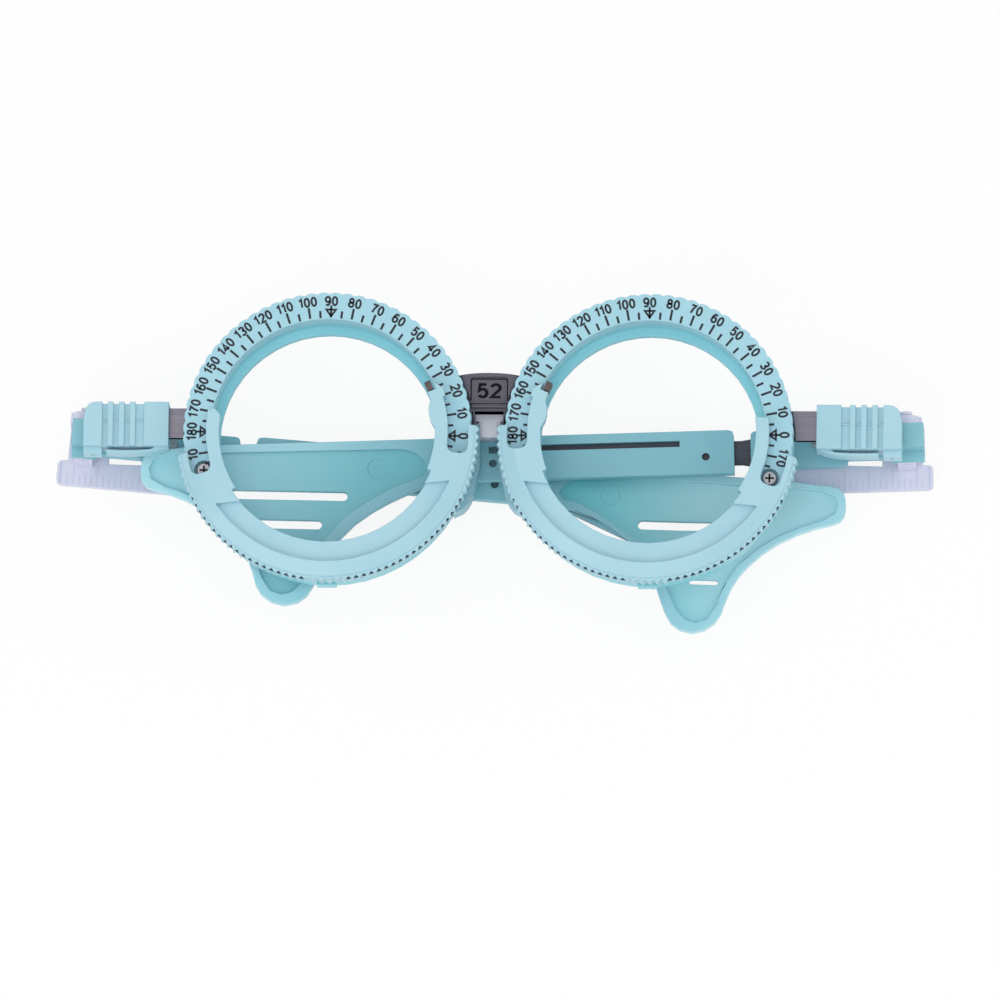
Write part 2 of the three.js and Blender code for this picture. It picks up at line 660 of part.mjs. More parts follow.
function saddle() {
  const clearR = REAR_R + SEAT_GAP;
  const front = -BRIDGE_FRONT - BRIDGE_T - SEAT_GAP;
  const low = Math.max(SADDLE_LOW, PAD_TOP + SEAT_GAP);
  const tongue = brick(-PAD_HALF_GAP + SEAT_GAP, PAD_HALF_GAP - SEAT_GAP, SADDLE_LOW, low + OVERCUT,
    front - SADDLE_T, front);
  return prism(between(low, SADDLE_TOP, clearR, 0), front - SADDLE_T, front).add(tongue);
}

// The left pad; x is measured from the middle plane.
function nosePad() {
  const clearR = REAR_R + SEAT_GAP;
  const height = PAD_TOP + PAD_LOW;
  const wide = nasalX(clearR, PAD_LOW) - PAD_HALF_GAP;
  const edge = padShares.map(([x, y]) => [-PAD_HALF_GAP - x * wide, -PAD_LOW + y * height]);
  const seat = [];
  for (let i = 0; i <= 2 * ROUND_FACETS; i += 1) {
    const y = -PAD_LOW + (height * i) / (2 * ROUND_FACETS);
    seat.push([-nasalX(clearR, y), y]);
  }
  const plan = outline([...edge, ...seat]);
  return prism(plan, -PAD_REACH, -PAD_FRONT);
}

// Side bar and slider, on the left

function sideBar() {
  const clearR = REAR_R + SEAT_GAP;
  const end = BLOCK_LEFT_X + BAR_IN_BLOCK;
  const inner = [];
  for (let i = 0; i <= ROUND_FACETS; i += 1) {
    const y = BAR_Y - BAR_H / 2 + (BAR_H * i) / ROUND_FACETS;
    inner.push([-PUPIL_DISTANCE / 2 - Math.sqrt(clearR * clearR - y * y), y]);
  }
  const plan = outline([...inner, [-end, BAR_Y + BAR_H / 2], [-end, BAR_Y - BAR_H / 2]]);
  return prism(plan, -BAR_FRONT - BAR_T, -BAR_FRONT);
}

// Drawn with x = 0 at the slider's inner end and running outwards along -X.
function sliderBlock() {
  const low = BAR_Y - BLOCK_LOW;
  const top = BAR_Y + BLOCK_TOP;
  const front = -BLOCK_FRONT;
  const back = front - BLOCK_T;
  const plan = new THREE.Shape();
  plan.moveTo(0, low);
  plan.lineTo(0, top);
  plan.lineTo(-BLOCK_L + BLOCK_DRAFT + BLOCK_ROUND, top);
  plan.quadraticCurveTo(-BLOCK_L + BLOCK_DRAFT, top, -BLOCK_L + BLOCK_DRAFT / 2, top - BLOCK_ROUND);
  plan.lineTo(-BLOCK_L, BAR_Y);
  plan.lineTo(-BLOCK_L, low);
  let body = prism(plan, back, front);
  // Latch leaf below the slider, free at its outer end, and the lug that it hooks on.
  const reach = BLOCK_L - LUG_W - LATCH_SLIT;
  const latchBack = back + LATCH_BACK;
  const latchFront = front - LATCH_SET;
  const under = latchShares.map(([x, y]) => [-x * reach, low - y * LATCH_DROP]);
  const over = under.slice(2).map(([x, y]) => [x, y + LATCH_T]).reverse();
  const rooted = [...under, ...over, [under[1][0], low + LATCH_T], [0, low + LATCH_T]];
  body = body.add(prism(outline(rooted), latchBack, latchFront));
  const lug = brick(-BLOCK_L, -BLOCK_L + LUG_W, low - LUG_DROP, low + LATCH_T, latchBack, latchFront);
  const lugHole = pin(-BLOCK_L + LUG_W / 2, (front + back) / 2, low - LUG_DROP - OVERCUT, low, LUG_HOLE_R);
  body = body.add(lug.subtract(lugHole));
  // Grip grooves over the front and top, and the moulding seam that crosses them.
  const gripEnd = GRIP_START + GRIP_LEAD + GROOVE_COUNT * (GRIP_GROOVE_W + GRIP_RIB_W) - GRIP_RIB_W;
  for (let i = 0; i < GROOVE_COUNT; i += 1) {
    const x1 = -gripEnd + GRIP_GROOVE_W + i * (GRIP_GROOVE_W + GRIP_RIB_W);
    const x0 = x1 - GRIP_GROOVE_W;
    const lead = i === GROOVE_COUNT - 1 ? GRIP_LEAD : 0;
    body = body
      .subtract(brick(x0, x1 + lead, low - OVERCUT, top + OVERCUT, front - GRIP_DEPTH, front + OVERCUT))
      .subtract(brick(x0, x1 + lead, top - GRIP_DEPTH / 2, top + OVERCUT, back - OVERCUT, front + OVERCUT));
  }
  body = body.add(brick(-gripEnd - SEAM_W, -GRIP_START + SEAM_W, BAR_Y - SEAM_W / 2, BAR_Y + SEAM_W / 2,
    front - GRIP_DEPTH - SEAM_W, front - GRIP_DEPTH + SEAM_H));
  // Channel for the bar.
  const room = BAR_IN_BLOCK + BLOCK_TRAVEL_IN + RUN_GAP;
  return body.subtract(brick(-room, OVERCUT, BAR_Y - BAR_H / 2 - RUN_GAP, BAR_Y + BAR_H / 2 + RUN_GAP,
    -BAR_FRONT - BAR_T - RUN_GAP, -BAR_FRONT + RUN_GAP));
}

// Drawn about the hinge axis, with the axis along Y through x = 0, z = 0.
function hingeBlock() {
  const front = HINGE_DEPTH - BLOCK_FRONT - BLOCK_T - SEAT_GAP;
  const foot = -BARREL_LOW + LOW_EAR_T + SEAT_GAP;
  const barrel = pin(0, 0, foot, BARREL_TOP, BARREL_R)
    .add(brick(-HINGE_FACE_OUT, 0, foot, BARREL_TOP, 0, BARREL_R))
    .add(brick(-HINGE_FACE_OUT, BARREL_R, -BARREL_LOW, BARREL_TOP, BARREL_R - APRON_T, BARREL_R))
    .add(brick(-HINGE_FACE_OUT, BARREL_R, -HINGE_ARM_LOW, BARREL_TOP, 0, front));
  return barrel.subtract(pin(0, 0, -BARREL_LOW - OVERCUT, BARREL_TOP + OVERCUT, PIN_R + RUN_GAP));
}

function hingePin() {
  const top = BARREL_TOP + SEAT_GAP + EAR_T + SEAT_GAP;
  const foot = BARREL_LOW - LOW_EAR_T / 2;
  return pin(0, 0, -foot, top, PIN_R).add(pin(0, 0, top, top + PIN_HEAD_T, PIN_HEAD_R));
}

// Temple

function templeBracket() {
  const wallFront = -BRACKET_W;
  const wallBack = wallFront - BRACKET_WALL;
  const earTop = BARREL_TOP + SEAT_GAP + EAR_T;
  const lowEarTop = -BARREL_LOW + LOW_EAR_T;
  const rulerLow = RULER_TOP + RULER_H;
  const wall = prism(roundedRect(-EAR_OUT, BRACKET_IN, -rulerLow, earTop, RULER_ROUND), wallBack, wallFront);
  const ruler = prism(roundedRect(-RULER_OUT, RULER_END, -rulerLow, -RULER_TOP, RULER_ROUND), wallBack,
    wallFront);
  const rim = prism(roundedRect(-RULER_OUT, EAR_OUT, -rulerLow, -RULER_TOP, RULER_ROUND),
    wallBack, wallFront + RULER_RIM_T).subtract(brick(-RULER_OUT + RULER_RIM, EAR_OUT + OVERCUT,
    -rulerLow - OVERCUT, 0, wallFront, 0));
  let body = wall.add(ruler).add(rim);
  const ears = [
    [BARREL_TOP + SEAT_GAP, earTop, EAR_OUT, EAR_FRONT],
    [-BARREL_LOW, lowEarTop, LOW_EAR_R, LOW_EAR_R],
  ];
  for (const [y0, y1, half, r] of ears) {
    body = body.add(brick(-half, half, y0, y1, wallBack, 0)).add(pin(0, 0, y0, y1, r));
  }
  const seat = lowEarTop - LOW_EAR_T * PIN_SEAT_SHARE;
  return body.subtract(pin(0, 0, seat, earTop + OVERCUT, PIN_R + RUN_GAP));
}

function templePlate() {
  const half = PLATE_T / 2;
  let body = prism(roundedRect(PLATE_START, PLATE_END, -PLATE_LOW, PLATE_TOP, PLATE_ROUND), -half, half);
  // The root reaches back to the bracket's wall.
  body = body.add(brick(PLATE_START, PLATE_ROOT_END, -PLATE_LOW + PLATE_ROUND, PLATE_TOP - PLATE_ROUND,
    -BRACKET_W + SEAT_GAP, 0));
  // The tongue below the strip, which lines up with the ruler.
  body = body.add(prism(roundedRect(PLATE_ROOT_END, PLATE_END, -PLATE_LOW - PLATE_TONGUE, 0,
    PLATE_ROUND), -half, half));
  const stripRoom = STRIP_H / 2 + SEAT_GAP;
  body = body.subtract(brick(STRIP_START - SEAT_GAP, PLATE_END + OVERCUT, -stripRoom, stripRoom,
    -STRIP_T / 2 - SEAT_GAP, STRIP_T / 2 + SEAT_GAP));
  const screwHole = post(PLATE_SCREW_U, PLATE_SCREW_V, 0, half + OVERCUT, PLATE_SCREW_R / 2 + SEAT_GAP);
  return body.subtract(screwHole);
}

function plateScrew() {
  const seat = PLATE_T / 2 + SEAT_GAP;
  const top = seat + PLATE_SCREW_T;
  const head = post(PLATE_SCREW_U, PLATE_SCREW_V, seat, top, PLATE_SCREW_R,
    PLATE_SCREW_R * SCREW_CROWN_SHARE);
  const shank = post(PLATE_SCREW_U, PLATE_SCREW_V, STRIP_T / 2 + SEAT_GAP, seat, PLATE_SCREW_R / 2);
  const slot = brick(PLATE_SCREW_U - PLATE_SCREW_R, PLATE_SCREW_U + PLATE_SCREW_R,
    PLATE_SCREW_V - CROSS_W / 2, PLATE_SCREW_V + CROSS_W / 2, top - CROSS_DEPTH / 2, top + OVERCUT);
  return head.add(shank).subtract(slot);
}

// The flat strip that the sleeve slides on, waisted where it leaves the plate.
function templeStrip() {
  const half = STRIP_H / 2;
  const waist = half - STRIP_WAIST;
  const neck = SLEEVE_START - PLATE_END;
  const plan = new THREE.Shape();
  plan.moveTo(STRIP_START, -half);
  plan.lineTo(PLATE_END - neck / 2, -half);
  plan.quadraticCurveTo(PLATE_END, -half, PLATE_END + neck / 2, -waist);
  plan.lineTo(STRIP_END, -waist);
  plan.lineTo(STRIP_END, waist);
  plan.lineTo(PLATE_END + neck / 2, waist);
  plan.quadraticCurveTo(PLATE_END, half, PLATE_END - neck / 2, half);
  plan.lineTo(STRIP_START, half);
  return prism(plan, -STRIP_T / 2, STRIP_T / 2);
}

// Wing outline point from shares of the wing's length and height.
const wingPoint = ([su, sv]) => [
  SLEEVE_END + su * (WING_END - SLEEVE_END),
  -WING_LOW + sv * (WING_LOW + WING_TOP),
];

function smooth(points, count, closed) {
  const curve = new THREE.CatmullRomCurve3(points.map(([x, y]) => new THREE.Vector3(x, y, 0)), closed,
    'centripetal');
  const list = curve.getPoints(count).map((p) => [p.x, p.y]);
  return closed ? list.slice(0, -1) : list;
}

function templeArm(lift, curl, twist) {
  const front = SLEEVE_T / 2;
  const half = SLEEVE_H / 2;
  const facets = ROUND_FACETS;
  // Outline of the whole arm, sleeve and wing in one.
  const wingEdge = smooth([...hornShares, ...tipShares, ...archShares].map(wingPoint), 8 * facets, false);
  const head = [
    [SLEEVE_START + SLEEVE_ROUND, half],
    [SLEEVE_START + SLEEVE_ROUND / 4, half - SLEEVE_ROUND / 4],
    [SLEEVE_START, half - SLEEVE_ROUND],
    [SLEEVE_START, -half],
  ];
  const edge = [...head, [SLEEVE_END, -half], ...wingEdge.slice().reverse()];
  let body = prism(outline(edge), front - WING_T, front);
  // The sleeve is thicker than the wing.
  body = body.add(prism(roundedRect(SLEEVE_START, SLEEVE_END, -half + SLEEVE_BACK_SET, half, SLEEVE_ROUND),
    -front, 0));
  body = body.subtract(prism(outline(smooth(recessShares.map(wingPoint), 7 * facets, true)),
    front - WING_RECESS, front + OVERCUT));
  body = body.subtract(post(EJECTOR_U, EJECTOR_V, front - WING_RECESS - EJECTOR_DEPTH, front, EJECTOR_R));
  // Three slots, each stepped back along the arch.
  for (let i = 0; i < WING_SLOT_COUNT; i += 1) {
    const u = WING_SLOT_U0 + i * WING_SLOT_STEP;
    const v = WING_SLOT_V - i * WING_SLOT_PITCH;
    const length = WING_SLOT_U1 - i * WING_SLOT_END_STEP - u;
    const slot = roundedRect(0, length, -WING_SLOT_H / 2, WING_SLOT_H / 2, WING_SLOT_H * SLOT_ROUND_SHARE);
    const cut = new THREE.ExtrudeGeometry(slot, {
      depth: SLEEVE_T + 2 * OVERCUT,
      bevelEnabled: false,
      curveSegments: ROUND_FACETS / 2,
    });
    cut.rotateZ(rad(WING_SLOT_TILT_DEG)).translate(u, v, -front - OVERCUT);
    body = body.subtract(solid(cut));
  }
  // Channel for the strip, the long slot over it, and the peg and key holes.
  const room = STRIP_T / 2 + RUN_GAP;
  const channel = STRIP_H / 2 + RUN_GAP;
  body = body.subtract(brick(SLEEVE_START - OVERCUT, CHANNEL_END, -channel, channel, -room, room));
  body = body.subtract(brick(SLOT_START, SLOT_END, SLOT_V - SLOT_H / 2, SLOT_V + SLOT_H / 2, 0,
    front + OVERCUT));
  body = body.subtract(brick(KEY_U - KEY_W / 2, KEY_U + KEY_W / 2, KEY_V - KEY_H / 2, KEY_V + KEY_H / 2, 0,
    front + OVERCUT));
  body = body.subtract(post(PEG_U, PEG_V, 0, front + OVERCUT, PEG_R));
  body = body.subtract(post(TAIL_PEG_U, TAIL_PEG_V, 0, front + OVERCUT, TAIL_PEG_R));
  return bent(geometryOf(body), lift, curl, twist);
}

// Bends the horn and the tip of the wing towards the head, and bends the whole arm a little
// more by the given lift, curl and twist.
function bent(geometry, lift, curl, twist) {
  const hornReach = WING_END - FLARE_START;
  const tipReach = WING_LOW - TIP_FLARE_START;
  const curlReach = WING_LOW - CURL_START;
  const cutsU = [];
  const cutsV = [];
  for (let i = 0; i < FLARE_CUT_COUNT; i += 1) {
    cutsU.push(FLARE_START + (hornReach * i) / FLARE_CUT_COUNT);
    cutsV.push(-TIP_FLARE_START - (tipReach * i) / FLARE_CUT_COUNT);
  }
  if (lift > 0) {
    for (let i = 0; i < CURL_CUT_COUNT; i += 1) {
      cutsU.push(TWIST_START + ((FLARE_START - TWIST_START) * i) / CURL_CUT_COUNT);
      cutsV.push(-CURL_START - ((TIP_FLARE_START - CURL_START) * i) / CURL_CUT_COUNT);
    }
  }
  const plate = sliced(sliced(geometry, 'x', cutsU), 'y', cutsV);
  const places = plate.attributes.position;
  for (let i = 0; i < places.count; i += 1) {
    const u = places.getX(i);
    const v = places.getY(i);
    const along = (u - SLEEVE_START) / (WING_END - SLEEVE_START);
    const horn = Math.max(0, u - FLARE_START) / hornReach;
    const tip = Math.max(0, -v - TIP_FLARE_START) / tipReach;
    const low = Math.max(0, -v - CURL_START) / curlReach;
    const turn = Math.max(0, u - TWIST_START) / (WING_END - TWIST_START);
    const across = (WING_TOP - v) / SLEEVE_H;
    places.setY(i, v + lift * along * along);
    places.setZ(i, places.getZ(i) + FLARE_END_H * horn * horn + TIP_FLARE_H * tip * tip
      + curl * low * low + twist * turn * turn * across);
  }
  return solid(plate);
}

// Assembly

const model = new THREE.Group();
model.add(piece('bridge', bridge(), bridgeGrey));
model.add(piece('nose_saddle', saddle(), lavender));

const spring = lensSpring();
const pad = nosePad();
const bar = sideBar();
const block = sliderBlock();
const knuckle = hingeBlock();
const hinge = hingePin();
const bracket = templeBracket();
const plate = templePlate();
const plateFix = plateScrew();
const strip = templeStrip();

for (const right of [false, true]) {
  const side = right ? 1 : -1;
  const end = right ? '_right' : '_left';
  const screwDeg = right ? SCREW_RIGHT_DEG : SCREW_LEFT_DEG;
  const carrier = right
    ? lensCarrier(WINDOW_RIGHT_TEMPORAL_DEG, WINDOW_DEG)
    : lensCarrier(WINDOW_DEG, WINDOW_LEFT_NASAL_DEG);
  const arm = right ? templeArm(0, 0, 0) : templeArm(LEFT_LIFT, LEFT_CURL, LEFT_TWIST);

  const ringGroup = new THREE.Group();
  ringGroup.position.x = (side * PUPIL_DISTANCE) / 2;
  ringGroup.add(piece('scale_ring' + end, dialRing(screwDeg), dialBlue, right));
  ringGroup.add(piece('rear_ring' + end, rearRing(screwDeg), dialBlue, right));
  ringGroup.add(piece('dial_screw' + end, dialScrew(screwDeg), screwSteel, right));

  const carrierGroup = new THREE.Group();
  carrierGroup.rotation.z = -side * rad(CARRIER_TURN_DEG);
  carrierGroup.add(piece('lens_carrier' + end, carrier, carrierBlue, right));
  carrierGroup.add(piece('lens_spring' + end, spring, springSteel, right));
  ringGroup.add(carrierGroup);
  model.add(ringGroup);

  model.add(piece('nose_pad' + end, pad, padBlue, right));
  model.add(piece('side_bar' + end, bar, barGrey, right));

  const innerEnd = right ? BLOCK_RIGHT_X : BLOCK_LEFT_X;
  const sliderGroup = new THREE.Group();
  sliderGroup.position.x = side * innerEnd;
  sliderGroup.add(piece('slider_block' + end, block, carrierBlue, right));

  const hingeGroup = new THREE.Group();
  hingeGroup.position.set(side * HINGE_OUT, HINGE_Y, -HINGE_DEPTH);
  hingeGroup.rotation.z = side * rad(right ? RIGHT_DROOP_DEG : LEFT_DROOP_DEG);
  hingeGroup.add(piece('hinge_block' + end, knuckle, templeTeal, right));
  hingeGroup.add(piece('hinge_pin' + end, hinge, screwSteel, right));

  const templeGroup = new THREE.Group();
  templeGroup.rotation.y = rad(right ? RIGHT_FOLD_DEG : LEFT_FOLD_DEG);
  templeGroup.add(piece('temple_bracket' + end, bracket, lavender, right));
  templeGroup.add(piece('temple_plate' + end, plate, templeTeal, right));
  templeGroup.add(piece('plate_screw' + end, plateFix, screwSteel, right));
  templeGroup.add(piece('temple_strip' + end, strip, barGrey, right));
  templeGroup.add(piece('temple_arm' + end, arm, templeTeal, right));
  hingeGroup.add(templeGroup);
  sliderGroup.add(hingeGroup);
  model.add(sliderGroup);
}

// The origin is the middle of the underside.
const frame = new THREE.Group();
frame.add(model);
frame.updateMatrixWorld(true);
const box = new THREE.Box3().setFromObject(model, true);
const middle = box.getCenter(new THREE.Vector3());
model.position.set(-middle.x, -middle.y, -box.min.z);

export default frame;
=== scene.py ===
"""Looks of the optical trial frame: plastics, metal strips, printed dials, camera, light and table."""

import json
import math

import bmesh
import bpy
from mathutils import Matrix, Vector
from mathutils.geometry import intersect_point_tri_2d


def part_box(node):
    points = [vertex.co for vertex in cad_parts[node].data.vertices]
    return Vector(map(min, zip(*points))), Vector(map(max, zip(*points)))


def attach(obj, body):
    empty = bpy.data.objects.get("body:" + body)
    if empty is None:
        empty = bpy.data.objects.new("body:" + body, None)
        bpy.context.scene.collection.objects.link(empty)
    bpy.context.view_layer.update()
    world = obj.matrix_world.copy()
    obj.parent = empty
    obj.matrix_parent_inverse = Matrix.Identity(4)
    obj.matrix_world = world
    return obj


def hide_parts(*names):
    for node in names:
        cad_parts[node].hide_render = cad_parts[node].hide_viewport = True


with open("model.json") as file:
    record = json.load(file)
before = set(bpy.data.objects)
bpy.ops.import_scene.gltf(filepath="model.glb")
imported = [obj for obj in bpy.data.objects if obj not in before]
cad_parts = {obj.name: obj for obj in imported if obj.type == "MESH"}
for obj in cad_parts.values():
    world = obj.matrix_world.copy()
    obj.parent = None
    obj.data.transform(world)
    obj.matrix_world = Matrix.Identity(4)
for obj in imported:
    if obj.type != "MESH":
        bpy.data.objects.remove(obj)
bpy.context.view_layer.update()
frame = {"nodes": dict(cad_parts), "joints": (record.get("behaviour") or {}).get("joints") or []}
SIDES = ("left", "right")
MM = 0.001

# Sizes are in millimetres where no comment says otherwise.

# Dial print: distances from the ring's axis, and the range and turn of its scale in degrees
NUMBER_R = 22
NUMBER_H = 1.64
LONG_TICK = (19.3, 21.1)
SHORT_TICK = (19.2, 20.4)
TICK_W = 0.37
ARROW_TIP = 19.5
ARROW_BAR = 20.6
ARROW_STEM = 21.1
ARROW_HALF = 0.78
LINE_W = 0.34
SCALE_FROM, SCALE_TO = -15, 195
TICK_STEP, NUMBER_STEP, ARROW_STEP = 5, 10, 90
SCALE_TURN = {"left": -0.75, "right": 0.35}

# Ink over and under the surface that it is printed on
INK_UP = 0.012
INK_DOWN = 0.01

# Digits, as shares of their height
DIGIT_PITCH = 0.69
ONE_PITCH = 0.5
DIGIT_STROKE = 0.205
DIGIT_X = 0.22
DIGIT_Y = 0.415

# Ribbons: the least cosine that widens a corner, and how near the two ends of a closed one are
MITRE_LIMIT = 0.5
SAME_POINT = 1e-6

# Bridge panel, with the pupil distance on it and painted shade round its recess
PANEL_Y = 7.65
PANEL_NUMBER = "52"
PANEL_NUMBER_H = 2.5
PANEL_NUMBER_WIDE = 1.24
PANEL_STROKE = 0.185
PANEL_DEPTH = 1.85
PANEL_W = 6.1
PANEL_H = 4.1
PANEL_LINE_W = 0.22

# Ruler marks, in the temple's own frame
RULER_FRONT = -4.1
RULER_LOW = -5.8
RULER_LONG_TOP = -2.4
RULER_SHORT_TOP = -4.1
RULER_FIRST = -2.45
RULER_PITCH = 0.97
RULER_COUNT = 25
RULER_LONG_EVERY = 4
RULER_MARK_W = 0.16
RULER_MARK_H = 0.025

# Painted shade at the bottom of a dial screw's cross recess
CROSS_L = 1.42
CROSS_W = 0.3
CROSS_DEPTH = 0.27
CROSS_T = 0.05

# Painted shade in the gaps of the knurls: its bottom and top under the crests, its front and back over the
# dial's front, and its stretches and step in degrees
KNURL_DEPTH = 0.5
KNURL_INSET = 0.2
KNURL_FRONT = 0.7
KNURL_BACK = 0.1
KNURL_STRETCHES = ((-154, -98), (-82, -26))
KNURL_STEP = 2

# Ends of the carriers' temporal arms, from the ring's axis: a point of each cut and its normal.
# Only faces further out than ARM_CUT_OUT and above ARM_CUT_LOW are cut.
ARM_CUTS = {
    "left": (((-18.3, 3.6), (-0.31, 1)), ((-18.3, 3.6), (1, 1))),
    "right": (((19.5, 2.4), (0.09, 1)),),
}
ARM_CUT_OUT = 14
ARM_CUT_LOW = -7

# How much narrower the ear wing's lower lobe is than its solid, in the temple's own frame:
# height, then the shift of the ear side and of the arch side at LOBE_REACH from the middle line
SLEEVE_LIMIT = 78
LOBE_MIDDLE = 99
LOBE_REACH = 10
LOBE_TRIM = {
    "left": ((-2, 0, 0), (-7, 1, 0), (-13, 1.5, 0.8), (-18, 1.9, 1.35), (-24, 1.9, 1.4)),
    "right": ((-2, 0, 0), (-7, 0.7, 0), (-13, 1.1, 0.8), (-18, 1.5, 1.35), (-24, 1.6, 1.4)),
}

# The left arm's arch is higher than its solid: by how much along the arm, the line it is measured from,
# the heights over that line where the rise starts to fade and where it ends, and the share that is
# added behind ARCH_BACK
ARCH_RAISE = ((78, 0.1), (81, 1.1), (84, 1.45), (91, 1.45), (95, 0))
ARCH_START = (78, -3.7)
ARCH_SLOPE = -0.62
ARCH_FULL, ARCH_NONE = 1.2, 4
ARCH_BACK = 0.6
ARCH_BACK_RAISE = 0.4

# Lowest slot of the wing: the part of the arm that holds it, its middle height, how far it moves
# along the arm and up, and the share of its height that stays
LOW_SLOT_U = (98, 106)
LOW_SLOT_V = (-16.1, -13)
LOW_SLOT_MIDDLE = -14.7
LOW_SLOT_MOVE = (0.9, 0.5)
LOW_SLOT_SHARE = 0.6

# Places on the wing's thin web and inside the round mark on it, the bend that the web stops at,
# and how squarely its first faces look to the front
WEB_SEEDS = ((92, -2.5), (85.8, -1))
WEB_BEND = math.radians(30)
WEB_FACING = 0.6

# Temple bracket: how much higher the free part of the ruler and the foot of the lower ear are,
# where their edges are, and how near to an edge a point is taken to be on it
RULER_FREE = 4.1
RULER_EDGE = (-2.85, -1.95)
RULER_RAISE = 0.95
EAR_HALF = 2
EAR_FOOT = -2.75
EAR_RAISE = 0.4
NEAR = 0.05

# Hinge blocks: how far their outer faces move, and how deep the band is that moves with them
BLOCK_FACE_SHIFT = 0.6
BLOCK_FACE_BAND = 1.5

# Roots that close the fitting gaps at the bridge, the saddle and the side bars
ROOT_SET = 0.05
ROOT_REACH = 0.5

# Meshes: when corners count as one, in metres and in decimals of a metre, and the bend up to which
# facets are shaded as one round surface
JOIN_WITHIN = 1e-7
CORNER_DECIMALS = 7
ROUND_LIMIT = math.radians(32)

# Camera: the direction, aim and lens that the photograph was taken with, and its clipping in metres
VIEW_AZIMUTH = math.radians(2.83)
VIEW_ELEVATION = math.radians(-12.42)
VIEW_ROLL = math.radians(0.874)
VIEW_CENTRE = (1.93, -10.6)
VIEW_WIDTH = 161.75
VIEW_DISTANCE = 6500
SENSOR = 36
CLIP = (0.01, 40)

# Light: each lamp's place and size in metres and its watts, and the strength of the world's light
LAMPS = {
    "front": ((0.05, -0.22, 1), 0.4, 1.3),
    "top": ((-0.25, 0.25, 0.9), 0.5, 0.65),
    "right": ((0.75, 0.15, 0.5), 0.6, 1.45),
    "low": ((0, -0.6, 0.7), 0.6, 0.95),
    "low_left": ((-0.5, -0.5, 0.6), 0.6, 1.7),
}
WORLD_LIGHT = 0.6

# Table: its tone and roughness, half its width in metres, and how clear it is to the camera
TABLE_TONE = 0.93
TABLE_ROUGH = 0.8
TABLE_HALF = 1.5
SEE_THROUGH = 0.88

# Sockets of the Mix node when it mixes colours
MIX_FIRST, MIX_SECOND, MIX_RESULT = 6, 7, 2


# Where things are

def front_centre(name):
    """Middle of a node's front, at rest."""
    low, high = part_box(name)
    return Vector(((low.x + high.x) / 2, (low.y + high.y) / 2, high.z))


def ring_centre(side):
    return front_centre("scale_ring_" + side)


def millimetres_from(point):
    """Matrix from millimetres about a point to metres."""
    return Matrix.Translation(point) @ Matrix.Scale(MM, 4)


def middle():
    return (ring_centre("left") + ring_centre("right")) / 2


def joint(name):
    return next(j for j in frame["joints"] if j["name"] == name)


def temple_frame(side):
    """Matrix to metres from the temple's own millimetres.

    They run from its pin at rest: u along the arm, v up and w to the front.
    """
    fold = joint("temple_fold_" + side)
    u = Vector(joint("arm_length_" + side)["axis"]).normalized()
    v = Vector(fold["axis"]).normalized() * (1 if side == "left" else -1)
    w = u.cross(v) * (1 if side == "left" else -1)
    matrix = Matrix((u * MM, v * MM, w * MM)).transposed().to_4x4()
    matrix.translation = Vector(fold["pos_m"])
    return matrix


# Materials

def colour(r, g, b):
    """sRGB bytes to a linear colour."""
    return tuple(((c / 255 + 0.055) / 1.055) ** 2.4 for c in (r, g, b)) + (1,)


def shader(name):
    material = bpy.data.materials.new(name)
    material.use_nodes = True
    tree = material.node_tree
    return material, tree, tree.nodes["Principled BSDF"]


def add(tree, kind, links=(), **values):
    """A new node. The values are its settings, and those of its sockets that have no link."""
    node = tree.nodes.new(kind)
    for key, value in values.items():
        if hasattr(node, key):
            setattr(node, key, value)
        else:
            node.inputs[key.replace("_", " ")].default_value = value
    for socket, source in links:
        tree.links.new(source, node.inputs[socket])
    return node


def ramp(tree, source, stops):
    node = tree.nodes.new("ShaderNodeValToRGB")
    tree.links.new(source, node.inputs[0])
    for element, (place, value) in zip(node.color_ramp.elements, stops):
        element.position = place
        element.color = value
    return node


def grey(value):
    return (value, value, value, 1)


def object_place(tree):
    return add(tree, "ShaderNodeTexCoord").outputs["Object"]


def noise(tree, place, scale, detail):
    return add(tree, "ShaderNodeTexNoise", [("Vector", place)], Scale=scale, Detail=detail).outputs["Fac"]


def set_tint(tree, bsdf, source, stops):
    tree.links.new(ramp(tree, source, stops).outputs[0], bsdf.inputs["Base Color"])


def set_sheen(tree, bsdf, source, low, high):
    """Roughness that wanders between two values."""
    sheen = ramp(tree, source, [(0.3, grey(low)), (0.7, grey(high))])
    tree.links.new(sheen.outputs[0], bsdf.inputs["Roughness"])


def set_relief(tree, bsdf, height, edge, samples, strength, depth):
    """Softened edges with fine relief over them. The edge is in millimetres, the depth in metres."""
    soft = add(tree, "ShaderNodeBevel", samples=samples, Radius=edge * MM)
    bump = add(tree, "ShaderNodeBump", [("Height", height), ("Normal", soft.outputs[0])],
               Strength=strength, Distance=depth)
    tree.links.new(bump.outputs[0], bsdf.inputs["Normal"])


def faded(tree, place, tint, far, from_x, to_x):
    """The tint passing over to another colour between two places along x, in metres, as painted light."""
    along = add(tree, "ShaderNodeSeparateXYZ", [(0, place)])
    share = add(tree, "ShaderNodeMapRange", [("Value", along.outputs["X"])], interpolation_type="SMOOTHSTEP",
                From_Min=from_x, From_Max=to_x)
    mix = add(tree, "ShaderNodeMix", [("Factor", share.outputs["Result"])], data_type="RGBA")
    tree.links.new(tint, mix.inputs[MIX_FIRST])
    mix.inputs[MIX_SECOND].default_value = far
    return mix.outputs[MIX_RESULT]


